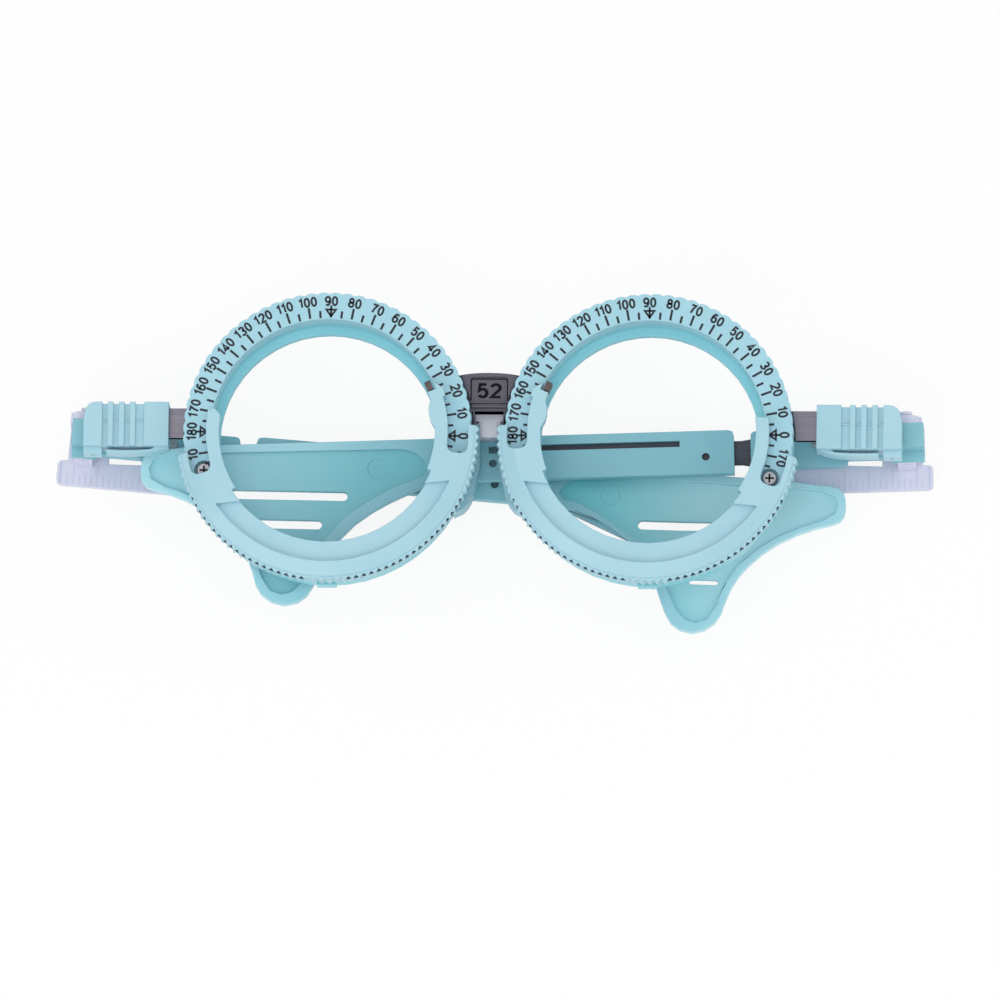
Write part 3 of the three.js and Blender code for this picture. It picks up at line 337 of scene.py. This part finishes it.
def moulded(name, base, tone, rough=0.36, edge=0.12, fade=None):
    """Satin moulded plastic: slow drift of tone, fine orange peel, and softened edges.

    A fade is painted light: the colour that the tone passes over to, and the two places along x where that
    starts and ends.
    """
    material, tree, bsdf = shader(name)
    place = object_place(tree)
    drift = noise(tree, place, scale=90, detail=3)
    wear = noise(tree, place, scale=420, detail=4)
    peel = noise(tree, place, scale=2600, detail=2)
    tint = ramp(tree, drift, [(0.3, base), (0.7, tone)]).outputs[0]
    if fade:
        tint = faded(tree, place, tint, *fade)
    tree.links.new(tint, bsdf.inputs["Base Color"])
    set_sheen(tree, bsdf, wear, rough - 0.05, rough + 0.07)
    set_relief(tree, bsdf, peel, edge, samples=6, strength=0.12, depth=0.00004)
    bsdf.inputs["Specular IOR Level"].default_value = 0.5
    bsdf.inputs["Subsurface Weight"].default_value = 0.12
    bsdf.inputs["Subsurface Radius"].default_value = (0.0006, 0.001, 0.0012)
    bsdf.inputs["Subsurface Scale"].default_value = 1
    return material


def brushed(name, base, tone, fineness, rough, metallic=1):
    """Metal with a grain of that fineness along each axis. It is drawn out where the fineness is low."""
    material, tree, bsdf = shader(name)
    drawn = add(tree, "ShaderNodeMapping", [("Vector", object_place(tree))], Scale=fineness)
    grain = noise(tree, drawn.outputs[0], scale=1, detail=5)
    set_tint(tree, bsdf, grain, [(0.35, base), (0.65, tone)])
    set_sheen(tree, bsdf, grain, rough - 0.08, rough + 0.1)
    set_relief(tree, bsdf, grain, edge=0.06, samples=4, strength=0.15, depth=0.00003)
    bsdf.inputs["Metallic"].default_value = metallic
    return material


def ink(name, base, tone, gloss=0.5):
    """Pad-printed ink, a little uneven. The painted shade pieces are made with it too."""
    material, tree, bsdf = shader(name)
    patches = noise(tree, object_place(tree), scale=900, detail=3)
    set_tint(tree, bsdf, patches, [(0.35, base), (0.7, tone)])
    bsdf.inputs["Roughness"].default_value = 0.5
    bsdf.inputs["Specular IOR Level"].default_value = gloss
    return material


DIAL = moulded("dial_plastic", colour(164, 210, 224), colour(158, 206, 221))
REAR = moulded("rear_plastic", colour(145, 212, 223), colour(139, 208, 220))
CARRIER = moulded("carrier_plastic", colour(168, 209, 222), colour(163, 205, 219), edge=0.2)
TEAL = (colour(137, 194, 206), colour(132, 189, 202))
# Painted light: the arms pale towards their horns, and the thin webs are a deeper teal that pales towards
# their tips, as light through thin plastic
PALE_HORN = colour(180, 227, 237)
TEMPLE = moulded("temple_plastic", *TEAL)
WEB = {
    "left": moulded("web_plastic_painted_light_left", colour(102, 200, 207), colour(98, 195, 203),
                    fade=(colour(180, 226, 234), 0.008, 0.043)),
    "right": moulded("web_plastic_painted_light_right", colour(116, 192, 202), colour(112, 187, 198),
                     fade=(colour(170, 221, 230), -0.012, -0.055)),
}
# Painted light: each arm pales towards its horn
ARM_LEFT = moulded("arm_plastic_painted_light_left", *TEAL, fade=(PALE_HORN, 0.008, 0.043))
ARM_RIGHT = moulded("arm_plastic_painted_light_right", *TEAL, fade=(PALE_HORN, -0.008, -0.05))
PAD = moulded("pad_plastic", colour(154, 198, 211), colour(148, 194, 207))
LAVENDER = moulded("lavender_plastic", colour(217, 218, 238), colour(213, 215, 236))
# Painted light: the saddle is the ruler's lavender made paler, to lift it out of the shade under the bridge
SADDLE = moulded("saddle_plastic_painted_light", colour(240, 241, 253), colour(236, 238, 251))
BRIDGE = moulded("bridge_plastic", colour(91, 89, 101), colour(84, 81, 94), rough=0.42)
BAR = brushed("bar_steel", colour(142, 137, 148), colour(133, 128, 139), (60, 6000, 6000), 0.42)
STRIP = brushed("strip_steel", colour(93, 93, 102), colour(86, 86, 95), (60, 6000, 6000), 0.6)
SCREW = brushed("screw_steel", colour(196, 194, 198), colour(178, 176, 180), (1500, 1500, 1500), 0.42, 0.6)
SPRING = brushed("spring_steel", colour(106, 98, 100), colour(88, 82, 84), (900, 900, 900), 0.4)
# Dial print, also used as the painted shade at the bottom of the screws' cross recesses
INK_AND_SHADE = ink("dial_ink_and_cross_shade", colour(16, 22, 34), colour(26, 32, 46))
PANEL_INK = ink("panel_ink", colour(22, 20, 26), colour(28, 26, 32), 0.05)
# Painted shade round the bridge panel
PANEL_SHADE = ink("panel_shade", colour(40, 37, 43), colour(34, 31, 37), 0.05)
# Painted shade in the gaps of the knurls
KNURL_SHADE = ink("knurl_shade", colour(56, 73, 89), colour(48, 63, 79), 0.1)
RULER_MARK = moulded("ruler_mark", colour(209, 210, 231), colour(204, 206, 228), edge=0.01)

DRESS = {
    "scale_ring": DIAL, "rear_ring": REAR, "lens_carrier": CARRIER, "slider_block": CARRIER,
    "nose_pad": PAD, "nose_saddle": SADDLE, "temple_bracket": LAVENDER, "bridge": BRIDGE,
    "hinge_block": TEMPLE, "hinge_pin": LAVENDER, "temple_plate": TEMPLE, "temple_strip": STRIP,
    "temple_arm_left": ARM_LEFT, "temple_arm_right": ARM_RIGHT, "side_bar": BAR, "lens_spring": SPRING,
    "dial_screw": SCREW, "plate_screw": SCREW,
}


# The CAD nodes

def round_shading(obj):
    """Shades facets that meet at a small angle as one round surface. The shape stays."""
    mesh = obj.data
    corners = [tuple(round(c, CORNER_DECIMALS) for c in vertex.co) for vertex in mesh.vertices]
    around = {}
    for face in mesh.polygons:
        for i in face.vertices:
            around.setdefault(corners[i], []).append(face)
    normals = []
    for face in mesh.polygons:
        face.use_smooth = True
        for i in face.vertices:
            met = around[corners[i]]
            near = [other for other in met if other.normal.angle(face.normal, 0) < ROUND_LIMIT]
            blend = sum((other.normal * other.area for other in near), Vector())
            normals.append(blend.normalized() if blend.length else face.normal.copy())
    mesh.normals_split_custom_set(normals)


def dress_nodes():
    for name, node in frame["nodes"].items():
        base = name.removesuffix("_left").removesuffix("_right")
        node.data.materials.clear()
        node.data.materials.append(DRESS.get(name) or DRESS[base])
        round_shading(node)


# New objects and pieces

def put(name, data):
    """A new object in the scene."""
    obj = bpy.data.objects.new(name, data)
    bpy.context.scene.collection.objects.link(obj)
    return obj


def mesh_from(name, bm, material):
    """A mesh from the bmesh, which is freed."""
    mesh = bpy.data.meshes.new(name)
    bm.to_mesh(mesh)
    bm.free()
    mesh.materials.append(material)
    return mesh


def mesh_piece(name, bm, material, body):
    bmesh.ops.recalc_face_normals(bm, faces=bm.faces)
    piece = put(name, mesh_from(name, bm, material))
    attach(piece, body)
    return piece


# Nodes whose outline is a little different to the eye

def copy_of(name):
    """The node's mesh, with its corners joined."""
    bm = bmesh.new()
    bm.from_mesh(frame["nodes"][name].data)
    bmesh.ops.remove_doubles(bm, verts=bm.verts, dist=JOIN_WITHIN)
    return bm


def stand_in(name, bm, body, slot, *more):
    """Puts the mesh in the node's place, in the node's material and any more that its faces name."""
    piece = mesh_piece("shaped_" + name, bm, frame["nodes"][name].data.materials[0], body)
    for material in more:
        piece.data.materials.append(material)
    round_shading(piece)
    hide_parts(name)


def trimmed_carrier(side):
    """The temporal arm ends lower than its solid, and the left one is bevelled."""
    name = "lens_carrier_" + side
    bm = copy_of(name)
    centre = ring_centre(side)
    outwards = -1 if side == "left" else 1

    def reached(face):
        x, y, _ = (face.calc_center_median() - centre) / MM
        return x * outwards > ARM_CUT_OUT and y > ARM_CUT_LOW

    for point, normal in ARM_CUTS[side]:
        # The parts stay in the mesh's own order, so that each run gives the same mesh.
        near = [face for face in bm.faces if reached(face)]
        edges = [edge for face in near for edge in face.edges]
        corners = [vertex for face in near for vertex in face.verts]
        parts = list(dict.fromkeys(near + edges + corners))
        cut = bmesh.ops.bisect_plane(bm, geom=parts, plane_co=centre + Vector((*point, 0)) * MM,
                                     plane_no=Vector((*normal, 0)).normalized(), clear_outer=True)
        rim = [edge for edge in cut["geom_cut"] if isinstance(edge, bmesh.types.BMEdge)]
        bmesh.ops.contextual_create(bm, geom=rim)
    stand_in(name, bm, "carrier_" + side, "carrier_blue")


def clamp(value, low=0, high=1):
    return max(low, min(high, value))


def table_value(rows, place, column=1):
    """Reads a table whose first column goes one way, with straight lines between its rows."""
    for first, last in zip(rows, rows[1:]):
        share = (place - first[0]) / (last[0] - first[0])
        if share <= 1:
            return first[column] + (last[column] - first[column]) * max(0, share)
    return rows[-1][column]


def arch_raise(u, v, w):
    """How far a point near the arch of the left arm moves up. The back edge is drawn in a little further."""
    above = v - ARCH_START[1] - ARCH_SLOPE * (u - ARCH_START[0])
    share = clamp((ARCH_NONE - above) / (ARCH_NONE - ARCH_FULL))
    return table_value(ARCH_RAISE, u) * share * (1 + ARCH_BACK_RAISE * (w < ARCH_BACK))


def web_faces(bm, place):
    """The front of the thin web inside the wing's rim, spread from its seeds over gentle bends."""
    bm.normal_update()
    back = place.inverted()
    forward = (place.to_3x3() @ Vector((0, 0, 1))).normalized()

    def holds(face, seed):
        corners = [(back @ vertex.co).xy for vertex in face.verts]
        return face.normal.dot(forward) > WEB_FACING and intersect_point_tri_2d(Vector(seed), *corners)

    web = set()
    todo = [face for face in bm.faces for seed in WEB_SEEDS if holds(face, seed)]
    while todo:
        face = todo.pop()
        if face not in web:
            web.add(face)
            todo += [other for edge in face.edges for other in edge.link_faces
                     if other.normal.angle(face.normal, 0) < WEB_BEND]
    return web


def wing_shift(side, u, v, w):
    """How far a point of the wing moves along the arm and up."""
    offset = clamp((u - LOBE_MIDDLE) / LOBE_REACH, -1)
    shift = -table_value(LOBE_TRIM[side], v, 1 if offset > 0 else 2) * offset
    rise = arch_raise(u, v, w) if side == "left" else 0
    if LOW_SLOT_U[0] < u < LOW_SLOT_U[1] and LOW_SLOT_V[0] < v < LOW_SLOT_V[1]:
        shift += LOW_SLOT_MOVE[0]
        rise += LOW_SLOT_MOVE[1] + (LOW_SLOT_SHARE - 1) * (v - LOW_SLOT_MIDDLE)
    return shift, rise


def trimmed_arm(side):
    """The wing's lobe is narrower, its lowest slot further out and the left arch higher than in the solid.

    Its web has a material of its own, a deeper teal that pales towards the tips: painted light through the
    thin plastic.
    """
    name = "temple_arm_" + side
    bm = copy_of(name)
    place = temple_frame(side)
    back = place.inverted()
    for face in web_faces(bm, place):
        face.material_index = 1
    for vertex in bm.verts:
        u, v, w = back @ vertex.co
        if u > SLEEVE_LIMIT and v < LOBE_TRIM[side][0][0]:
            shift, rise = wing_shift(side, u, v, w)
            vertex.co = place @ Vector((u + shift, v + rise, w))
    stand_in(name, bm, "arm_" + side, "temple_teal", WEB[side])


def raised_bracket(side):
    """The free part of the ruler is a little higher than its solid, and the lower ear is shallower."""
    name = "temple_bracket_" + side
    bm = copy_of(name)
    place = temple_frame(side)
    back = place.inverted()
    low, high = RULER_EDGE
    for vertex in bm.verts:
        u, v, w = back @ vertex.co
        if u > RULER_FREE and low < v < high + NEAR:
            vertex.co = place @ Vector((u, v + RULER_RAISE * clamp((v - low) / (high - low)), w))
        elif abs(u) < EAR_HALF and w > RULER_FRONT + NEAR and abs(v - EAR_FOOT) < NEAR:
            vertex.co = place @ Vector((u, v + EAR_RAISE, w))
    stand_in(name, bm, "temple_" + side, "lavender")


def shifted_hinge_block(side):
    """The block's outer face stands a little further to the viewer's right."""
    name = "hinge_block_" + side
    bm = copy_of(name)
    low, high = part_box(name)
    for vertex in bm.verts:
        outer = vertex.co.x - low.x if side == "left" else high.x - vertex.co.x
        if outer < BLOCK_FACE_BAND * MM:
            vertex.co.x += BLOCK_FACE_SHIFT * MM
    stand_in(name, bm, "slider_" + side, "temple_teal")


def root(name, source, ends):
    """A copy just behind its node's face, which reaches further at the ends that meet a ring.

    The ends are -1 for the left one and 1 for the right one.
    """
    bm = copy_of(source)
    low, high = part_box(source)
    middle_x = (low.x + high.x) / 2
    for vertex in bm.verts:
        end = 1 if vertex.co.x > middle_x else -1
        if end in ends:
            vertex.co.x += end * ROOT_REACH * MM
        vertex.co.z -= ROOT_SET * MM
    mesh_piece(name, bm, frame["nodes"][source].data.materials[0], "front")


def reshape_nodes():
    for side in SIDES:
        trimmed_carrier(side)
        trimmed_arm(side)
        raised_bracket(side)
        shifted_hinge_block(side)
        root("bar_root_" + side, "side_bar_" + side, (1,) if side == "left" else (-1,))
    root("bridge_root", "bridge", (-1, 1))
    root("saddle_root", "nose_saddle", (-1, 1))


# Printed and moulded marks, and painted shade

def add_bar(bm, matrix, x0, x1, y0, y1, z0, z1):
    """A thin bar between two corners, in the frame of matrix."""
    outline = ((x0, y0), (x1, y0), (x1, y1), (x0, y1))
    corners = [bm.verts.new(matrix @ Vector((x, y, z))) for z in (z0, z1) for x, y in outline]
    for face in ((3, 2, 1, 0), (4, 5, 6, 7), (0, 1, 5, 4), (1, 2, 6, 5), (2, 3, 7, 6), (3, 0, 4, 7)):
        bm.faces.new([corners[i] for i in face])


def add_line(bm, matrix, start, end, width):
    """A printed line between two points of the surface."""
    run = Vector((end[0] - start[0], end[1] - start[1], 0))
    turn = Matrix.Translation((start[0], start[1], 0)) @ Matrix.Rotation(math.atan2(run.y, run.x), 4, "Z")
    add_bar(bm, matrix @ turn, -width / 2, run.length + width / 2, -width / 2, width / 2, -INK_DOWN, INK_UP)


def bow(x, y, rx, ry, start, end, steps=14):
    """Points along part of an ellipse, with the angles in degrees."""
    turns = [math.radians(start + (end - start) * i / steps) for i in range(steps + 1)]
    return [(x + rx * math.cos(t), y + ry * math.sin(t)) for t in turns]


def upside_down(strokes):
    return [[(-x, -y) for x, y in stroke] for stroke in strokes]


SIX = [bow(0, -0.155, DIGIT_X, 0.26, 0, 360, 20), bow(0.02, -0.07, DIGIT_X + 0.02, 0.485, 178, 52)]
DIGITS = {
    "0": [bow(0, 0, DIGIT_X, DIGIT_Y, 0, 360, 24)],
    "1": [[(-0.16, 0.22), (0.07, DIGIT_Y), (0.07, -DIGIT_Y)]],
    "2": [bow(0, 0.19, DIGIT_X, 0.225, 168, -38) + [(-DIGIT_X, -DIGIT_Y), (DIGIT_X + 0.03, -DIGIT_Y)]],
    "3": [bow(-0.02, 0.21, 0.2, 0.205, 155, -90) + bow(-0.02, -0.205, 0.23, 0.21, 90, -155)],
    "4": [[(0.09, -DIGIT_Y), (0.09, DIGIT_Y), (-0.24, -0.2), (0.27, -0.2)]],
    "5": [[(0.2, DIGIT_Y), (-0.13, DIGIT_Y), (-0.2, -0.02)] + bow(0, -0.15, DIGIT_X, 0.265, 128, -150)],
    "6": SIX,
    "7": [[(-DIGIT_X, DIGIT_Y), (DIGIT_X, DIGIT_Y), (0.02, 0.02), (-0.08, -DIGIT_Y)]],
    "8": [bow(0, 0.205, 0.18, 0.21, 0, 360, 18), bow(0, -0.195, DIGIT_X, 0.22, 0, 360, 18)],
    "9": upside_down(SIX),
}


def skin(bm, rows, closed=False):
    """Faces along a row of four-cornered sections, with an end face at each end unless it is closed."""
    for a, b in zip(rows, rows[1:] + rows[:1] if closed else rows[1:]):
        for k in range(4):
            bm.faces.new((a[k], a[(k + 1) % 4], b[(k + 1) % 4], b[k]))
    if not closed:
        bm.faces.new(rows[0][::-1])
        bm.faces.new(rows[-1])


def half_across(before, point, after, width):
    """From the path to a ribbon's edge at one of its points, longer where the path turns a corner."""
    into = (point - before).normalized() if before is not None else (after - point).normalized()
    out = (after - point).normalized() if after is not None else into
    along = (into + out).normalized()
    return Vector((-along.y, along.x)) * width / 2 / max(along.dot(into), MITRE_LIMIT)


def add_stroke(bm, matrix, points, width):
    """A ribbon along the points, with mitred corners. It closes if the last point meets the first."""
    path = [Vector(point) for point in points]
    closed = (path[0] - path[-1]).length < SAME_POINT
    if closed:
        path.pop()
    last = len(path) - 1
    rows = []
    for i, point in enumerate(path):
        before = path[i - 1] if i or closed else None
        after = path[(i + 1) % len(path)] if i < last or closed else None
        across = half_across(before, point, after, width)
        section = ((1, -INK_DOWN), (-1, -INK_DOWN), (-1, INK_UP), (1, INK_UP))
        rows.append([bm.verts.new(matrix @ Vector((*(point + across * way), z))) for way, z in section])
    skin(bm, rows, closed)


def add_number(bm, matrix, text, height, stroke=DIGIT_STROKE):
    """Digits side by side about the matrix's origin."""
    widths = [ONE_PITCH if digit == "1" else DIGIT_PITCH for digit in text]
    x = -sum(widths) / 2
    for digit, width in zip(text, widths):
        x += width / 2
        for points in DIGITS[digit]:
            add_stroke(bm, matrix, [((px + x) * height, py * height) for px, py in points], stroke * height)
        x += width / 2


def dial_print(side):
    """Axis scale: numbers every 10 degrees, ticks every 5, and arrows at 0, 90 and 180."""
    bm = bmesh.new()
    turn = Matrix.Rotation(math.radians(SCALE_TURN[side]), 4, "Z")
    centre = millimetres_from(ring_centre(side)) @ turn
    for degrees in range(SCALE_FROM, SCALE_TO + 1, TICK_STEP):
        # Up in this frame is outwards along the radius.
        out = centre @ Matrix.Rotation(math.radians(degrees - 90), 4, "Z")
        if degrees % ARROW_STEP == 0:
            add_line(bm, out, (0, ARROW_STEM), (0, ARROW_TIP), LINE_W)
            left, right, tip = (-ARROW_HALF, ARROW_BAR), (ARROW_HALF, ARROW_BAR), (0, ARROW_TIP)
            add_stroke(bm, out, [left, right, tip, left], LINE_W)
        else:
            r0, r1 = LONG_TICK if degrees % NUMBER_STEP == 0 else SHORT_TICK
            add_line(bm, out, (0, r0 + TICK_W / 2), (0, r1 - TICK_W / 2), TICK_W)
        if degrees % NUMBER_STEP == 0:
            # Past its ends the scale starts again.
            number = degrees if 0 <= degrees <= 180 else degrees % 180
            add_number(bm, out @ Matrix.Translation((0, NUMBER_R, 0)), str(number), NUMBER_H)
    mesh_piece("dial_print_" + side, bm, INK_AND_SHADE, "front")


def bridge_panel():
    """The pupil distance, and painted shade along the edge of its panel's recess."""
    place = millimetres_from(middle() + Vector((0, PANEL_Y, -PANEL_DEPTH)) * MM)
    bm = bmesh.new()
    wide = Matrix.Scale(PANEL_NUMBER_WIDE, 4, (1, 0, 0))
    add_number(bm, place @ wide, PANEL_NUMBER, PANEL_NUMBER_H, PANEL_STROKE)
    mesh_piece("bridge_number", bm, PANEL_INK, "front")
    bm = bmesh.new()
    x, y = (PANEL_W - PANEL_LINE_W) / 2, (PANEL_H - PANEL_LINE_W) / 2
    add_stroke(bm, place, [(-x, -y), (x, -y), (x, y), (-x, y), (-x, -y)], PANEL_LINE_W)
    mesh_piece("bridge_panel_shade_line", bm, PANEL_SHADE, "front")


def ruler_marks(side):
    bm = bmesh.new()
    place = temple_frame(side)
    for i in range(RULER_COUNT):
        u = RULER_FIRST + i * RULER_PITCH
        top = RULER_LONG_TOP if i % RULER_LONG_EVERY == 1 else RULER_SHORT_TOP
        add_bar(bm, place, u - RULER_MARK_W / 2, u + RULER_MARK_W / 2, RULER_LOW, top,
                RULER_FRONT - RULER_MARK_H, RULER_FRONT + RULER_MARK_H)
    mesh_piece("ruler_marks_" + side, bm, RULER_MARK, "temple_" + side)


def screw_cross(side):
    """Painted shade at the bottom of the cross recess."""
    bm = bmesh.new()
    place = millimetres_from(front_centre("dial_screw_" + side))
    for half_x, half_y in ((CROSS_L / 2, CROSS_W / 2), (CROSS_W / 2, CROSS_L / 2)):
        add_bar(bm, place, -half_x, half_x, -half_y, half_y, -CROSS_DEPTH - CROSS_T, -CROSS_DEPTH)
    mesh_piece("screw_cross_" + side, bm, INK_AND_SHADE, "front")


def knurl_shade(side):
    """Painted shade: a dark piece deep in the gaps of the knurls, on their lower stretches."""
    bm = bmesh.new()
    centre = ring_centre(side)
    place = millimetres_from(centre)
    crest = (centre.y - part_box("lens_carrier_" + side)[0].y) / MM
    low, high = crest - KNURL_DEPTH, crest - KNURL_INSET
    section = ((low, KNURL_FRONT), (high, KNURL_FRONT), (high, KNURL_BACK), (low, KNURL_BACK))
    for start, end in KNURL_STRETCHES:
        rows = []
        for degrees in range(start, end + 1, KNURL_STEP):
            turn = place @ Matrix.Rotation(math.radians(degrees), 4, "Z")
            rows.append([bm.verts.new(turn @ Vector((r, 0, z))) for r, z in section])
        skin(bm, rows)
    mesh_piece("knurl_shade_" + side, bm, KNURL_SHADE, "carrier_" + side)


def add_marks():
    for side in SIDES:
        dial_print(side)
        ruler_marks(side)
        screw_cross(side)
        knurl_shade(side)
    bridge_panel()


# Camera

def photo_camera():
    turn = (Matrix.Rotation(VIEW_AZIMUTH, 4, "Y") @ Matrix.Rotation(-VIEW_ELEVATION, 4, "X")
            @ Matrix.Rotation(VIEW_ROLL, 4, "Z"))
    aim = middle() + turn @ (Vector((*VIEW_CENTRE, 0)) * MM)
    data = bpy.data.cameras.new("camera")
    data.sensor_width = SENSOR
    data.lens = SENSOR * VIEW_DISTANCE / VIEW_WIDTH
    data.clip_start, data.clip_end = CLIP
    camera = put("camera", data)
    camera.matrix_world = Matrix.Translation(aim + turn @ Vector((0, 0, VIEW_DISTANCE)) * MM) @ turn
    bpy.context.scene.camera = camera


# Light and table

def lamp(name, place, size, watts):
    """A square soft lamp that looks at the origin."""
    data = bpy.data.lights.new(name, "AREA")
    data.shape = "SQUARE"
    data.size = size
    data.energy = watts
    light = put(name, data)
    light.location = place
    light.rotation_euler = (Vector() - Vector(place)).to_track_quat("-Z", "Y").to_euler()


def white_world():
    """White to the camera, and a softer white for lighting."""
    world = bpy.data.worlds.new("studio")
    world.use_nodes = True
    bpy.context.scene.world = world
    tree = world.node_tree
    tree.nodes.clear()
    seen = add(tree, "ShaderNodeBackground", Color=grey(1), Strength=1)
    light = add(tree, "ShaderNodeBackground", Color=grey(1), Strength=WORLD_LIGHT)
    path = add(tree, "ShaderNodeLightPath")
    mix = add(tree, "ShaderNodeMixShader", [("Fac", path.outputs["Is Camera Ray"])])
    tree.links.new(light.outputs[0], mix.inputs[1])
    tree.links.new(seen.outputs[0], mix.inputs[2])
    tree.links.new(mix.outputs[0], add(tree, "ShaderNodeOutputWorld").inputs["Surface"])


def pale_table():
    """A white table, mostly see-through to the camera so that opened temples still show."""
    material, tree, bsdf = shader("table")
    bsdf.inputs["Base Color"].default_value = grey(TABLE_TONE)
    bsdf.inputs["Roughness"].default_value = TABLE_ROUGH
    clear = add(tree, "ShaderNodeBsdfTransparent")
    path = add(tree, "ShaderNodeLightPath")
    share = add(tree, "ShaderNodeMath", [(0, path.outputs["Is Camera Ray"])], operation="MULTIPLY")
    share.inputs[1].default_value = SEE_THROUGH
    mix = add(tree, "ShaderNodeMixShader", [("Fac", share.outputs[0])])
    tree.links.new(bsdf.outputs[0], mix.inputs[1])
    tree.links.new(clear.outputs[0], mix.inputs[2])
    tree.links.new(mix.outputs[0], tree.nodes["Material Output"].inputs["Surface"])
    bm = bmesh.new()
    bmesh.ops.create_grid(bm, x_segments=1, y_segments=1, size=TABLE_HALF)
    put("table", mesh_from("table", bm, material))


dress_nodes()
reshape_nodes()
add_marks()
photo_camera()
white_world()
pale_table()
for name, (place, size, watts) in LAMPS.items():
    lamp(name, place, size, watts)
bpy.context.scene.view_settings.view_transform = "Standard"
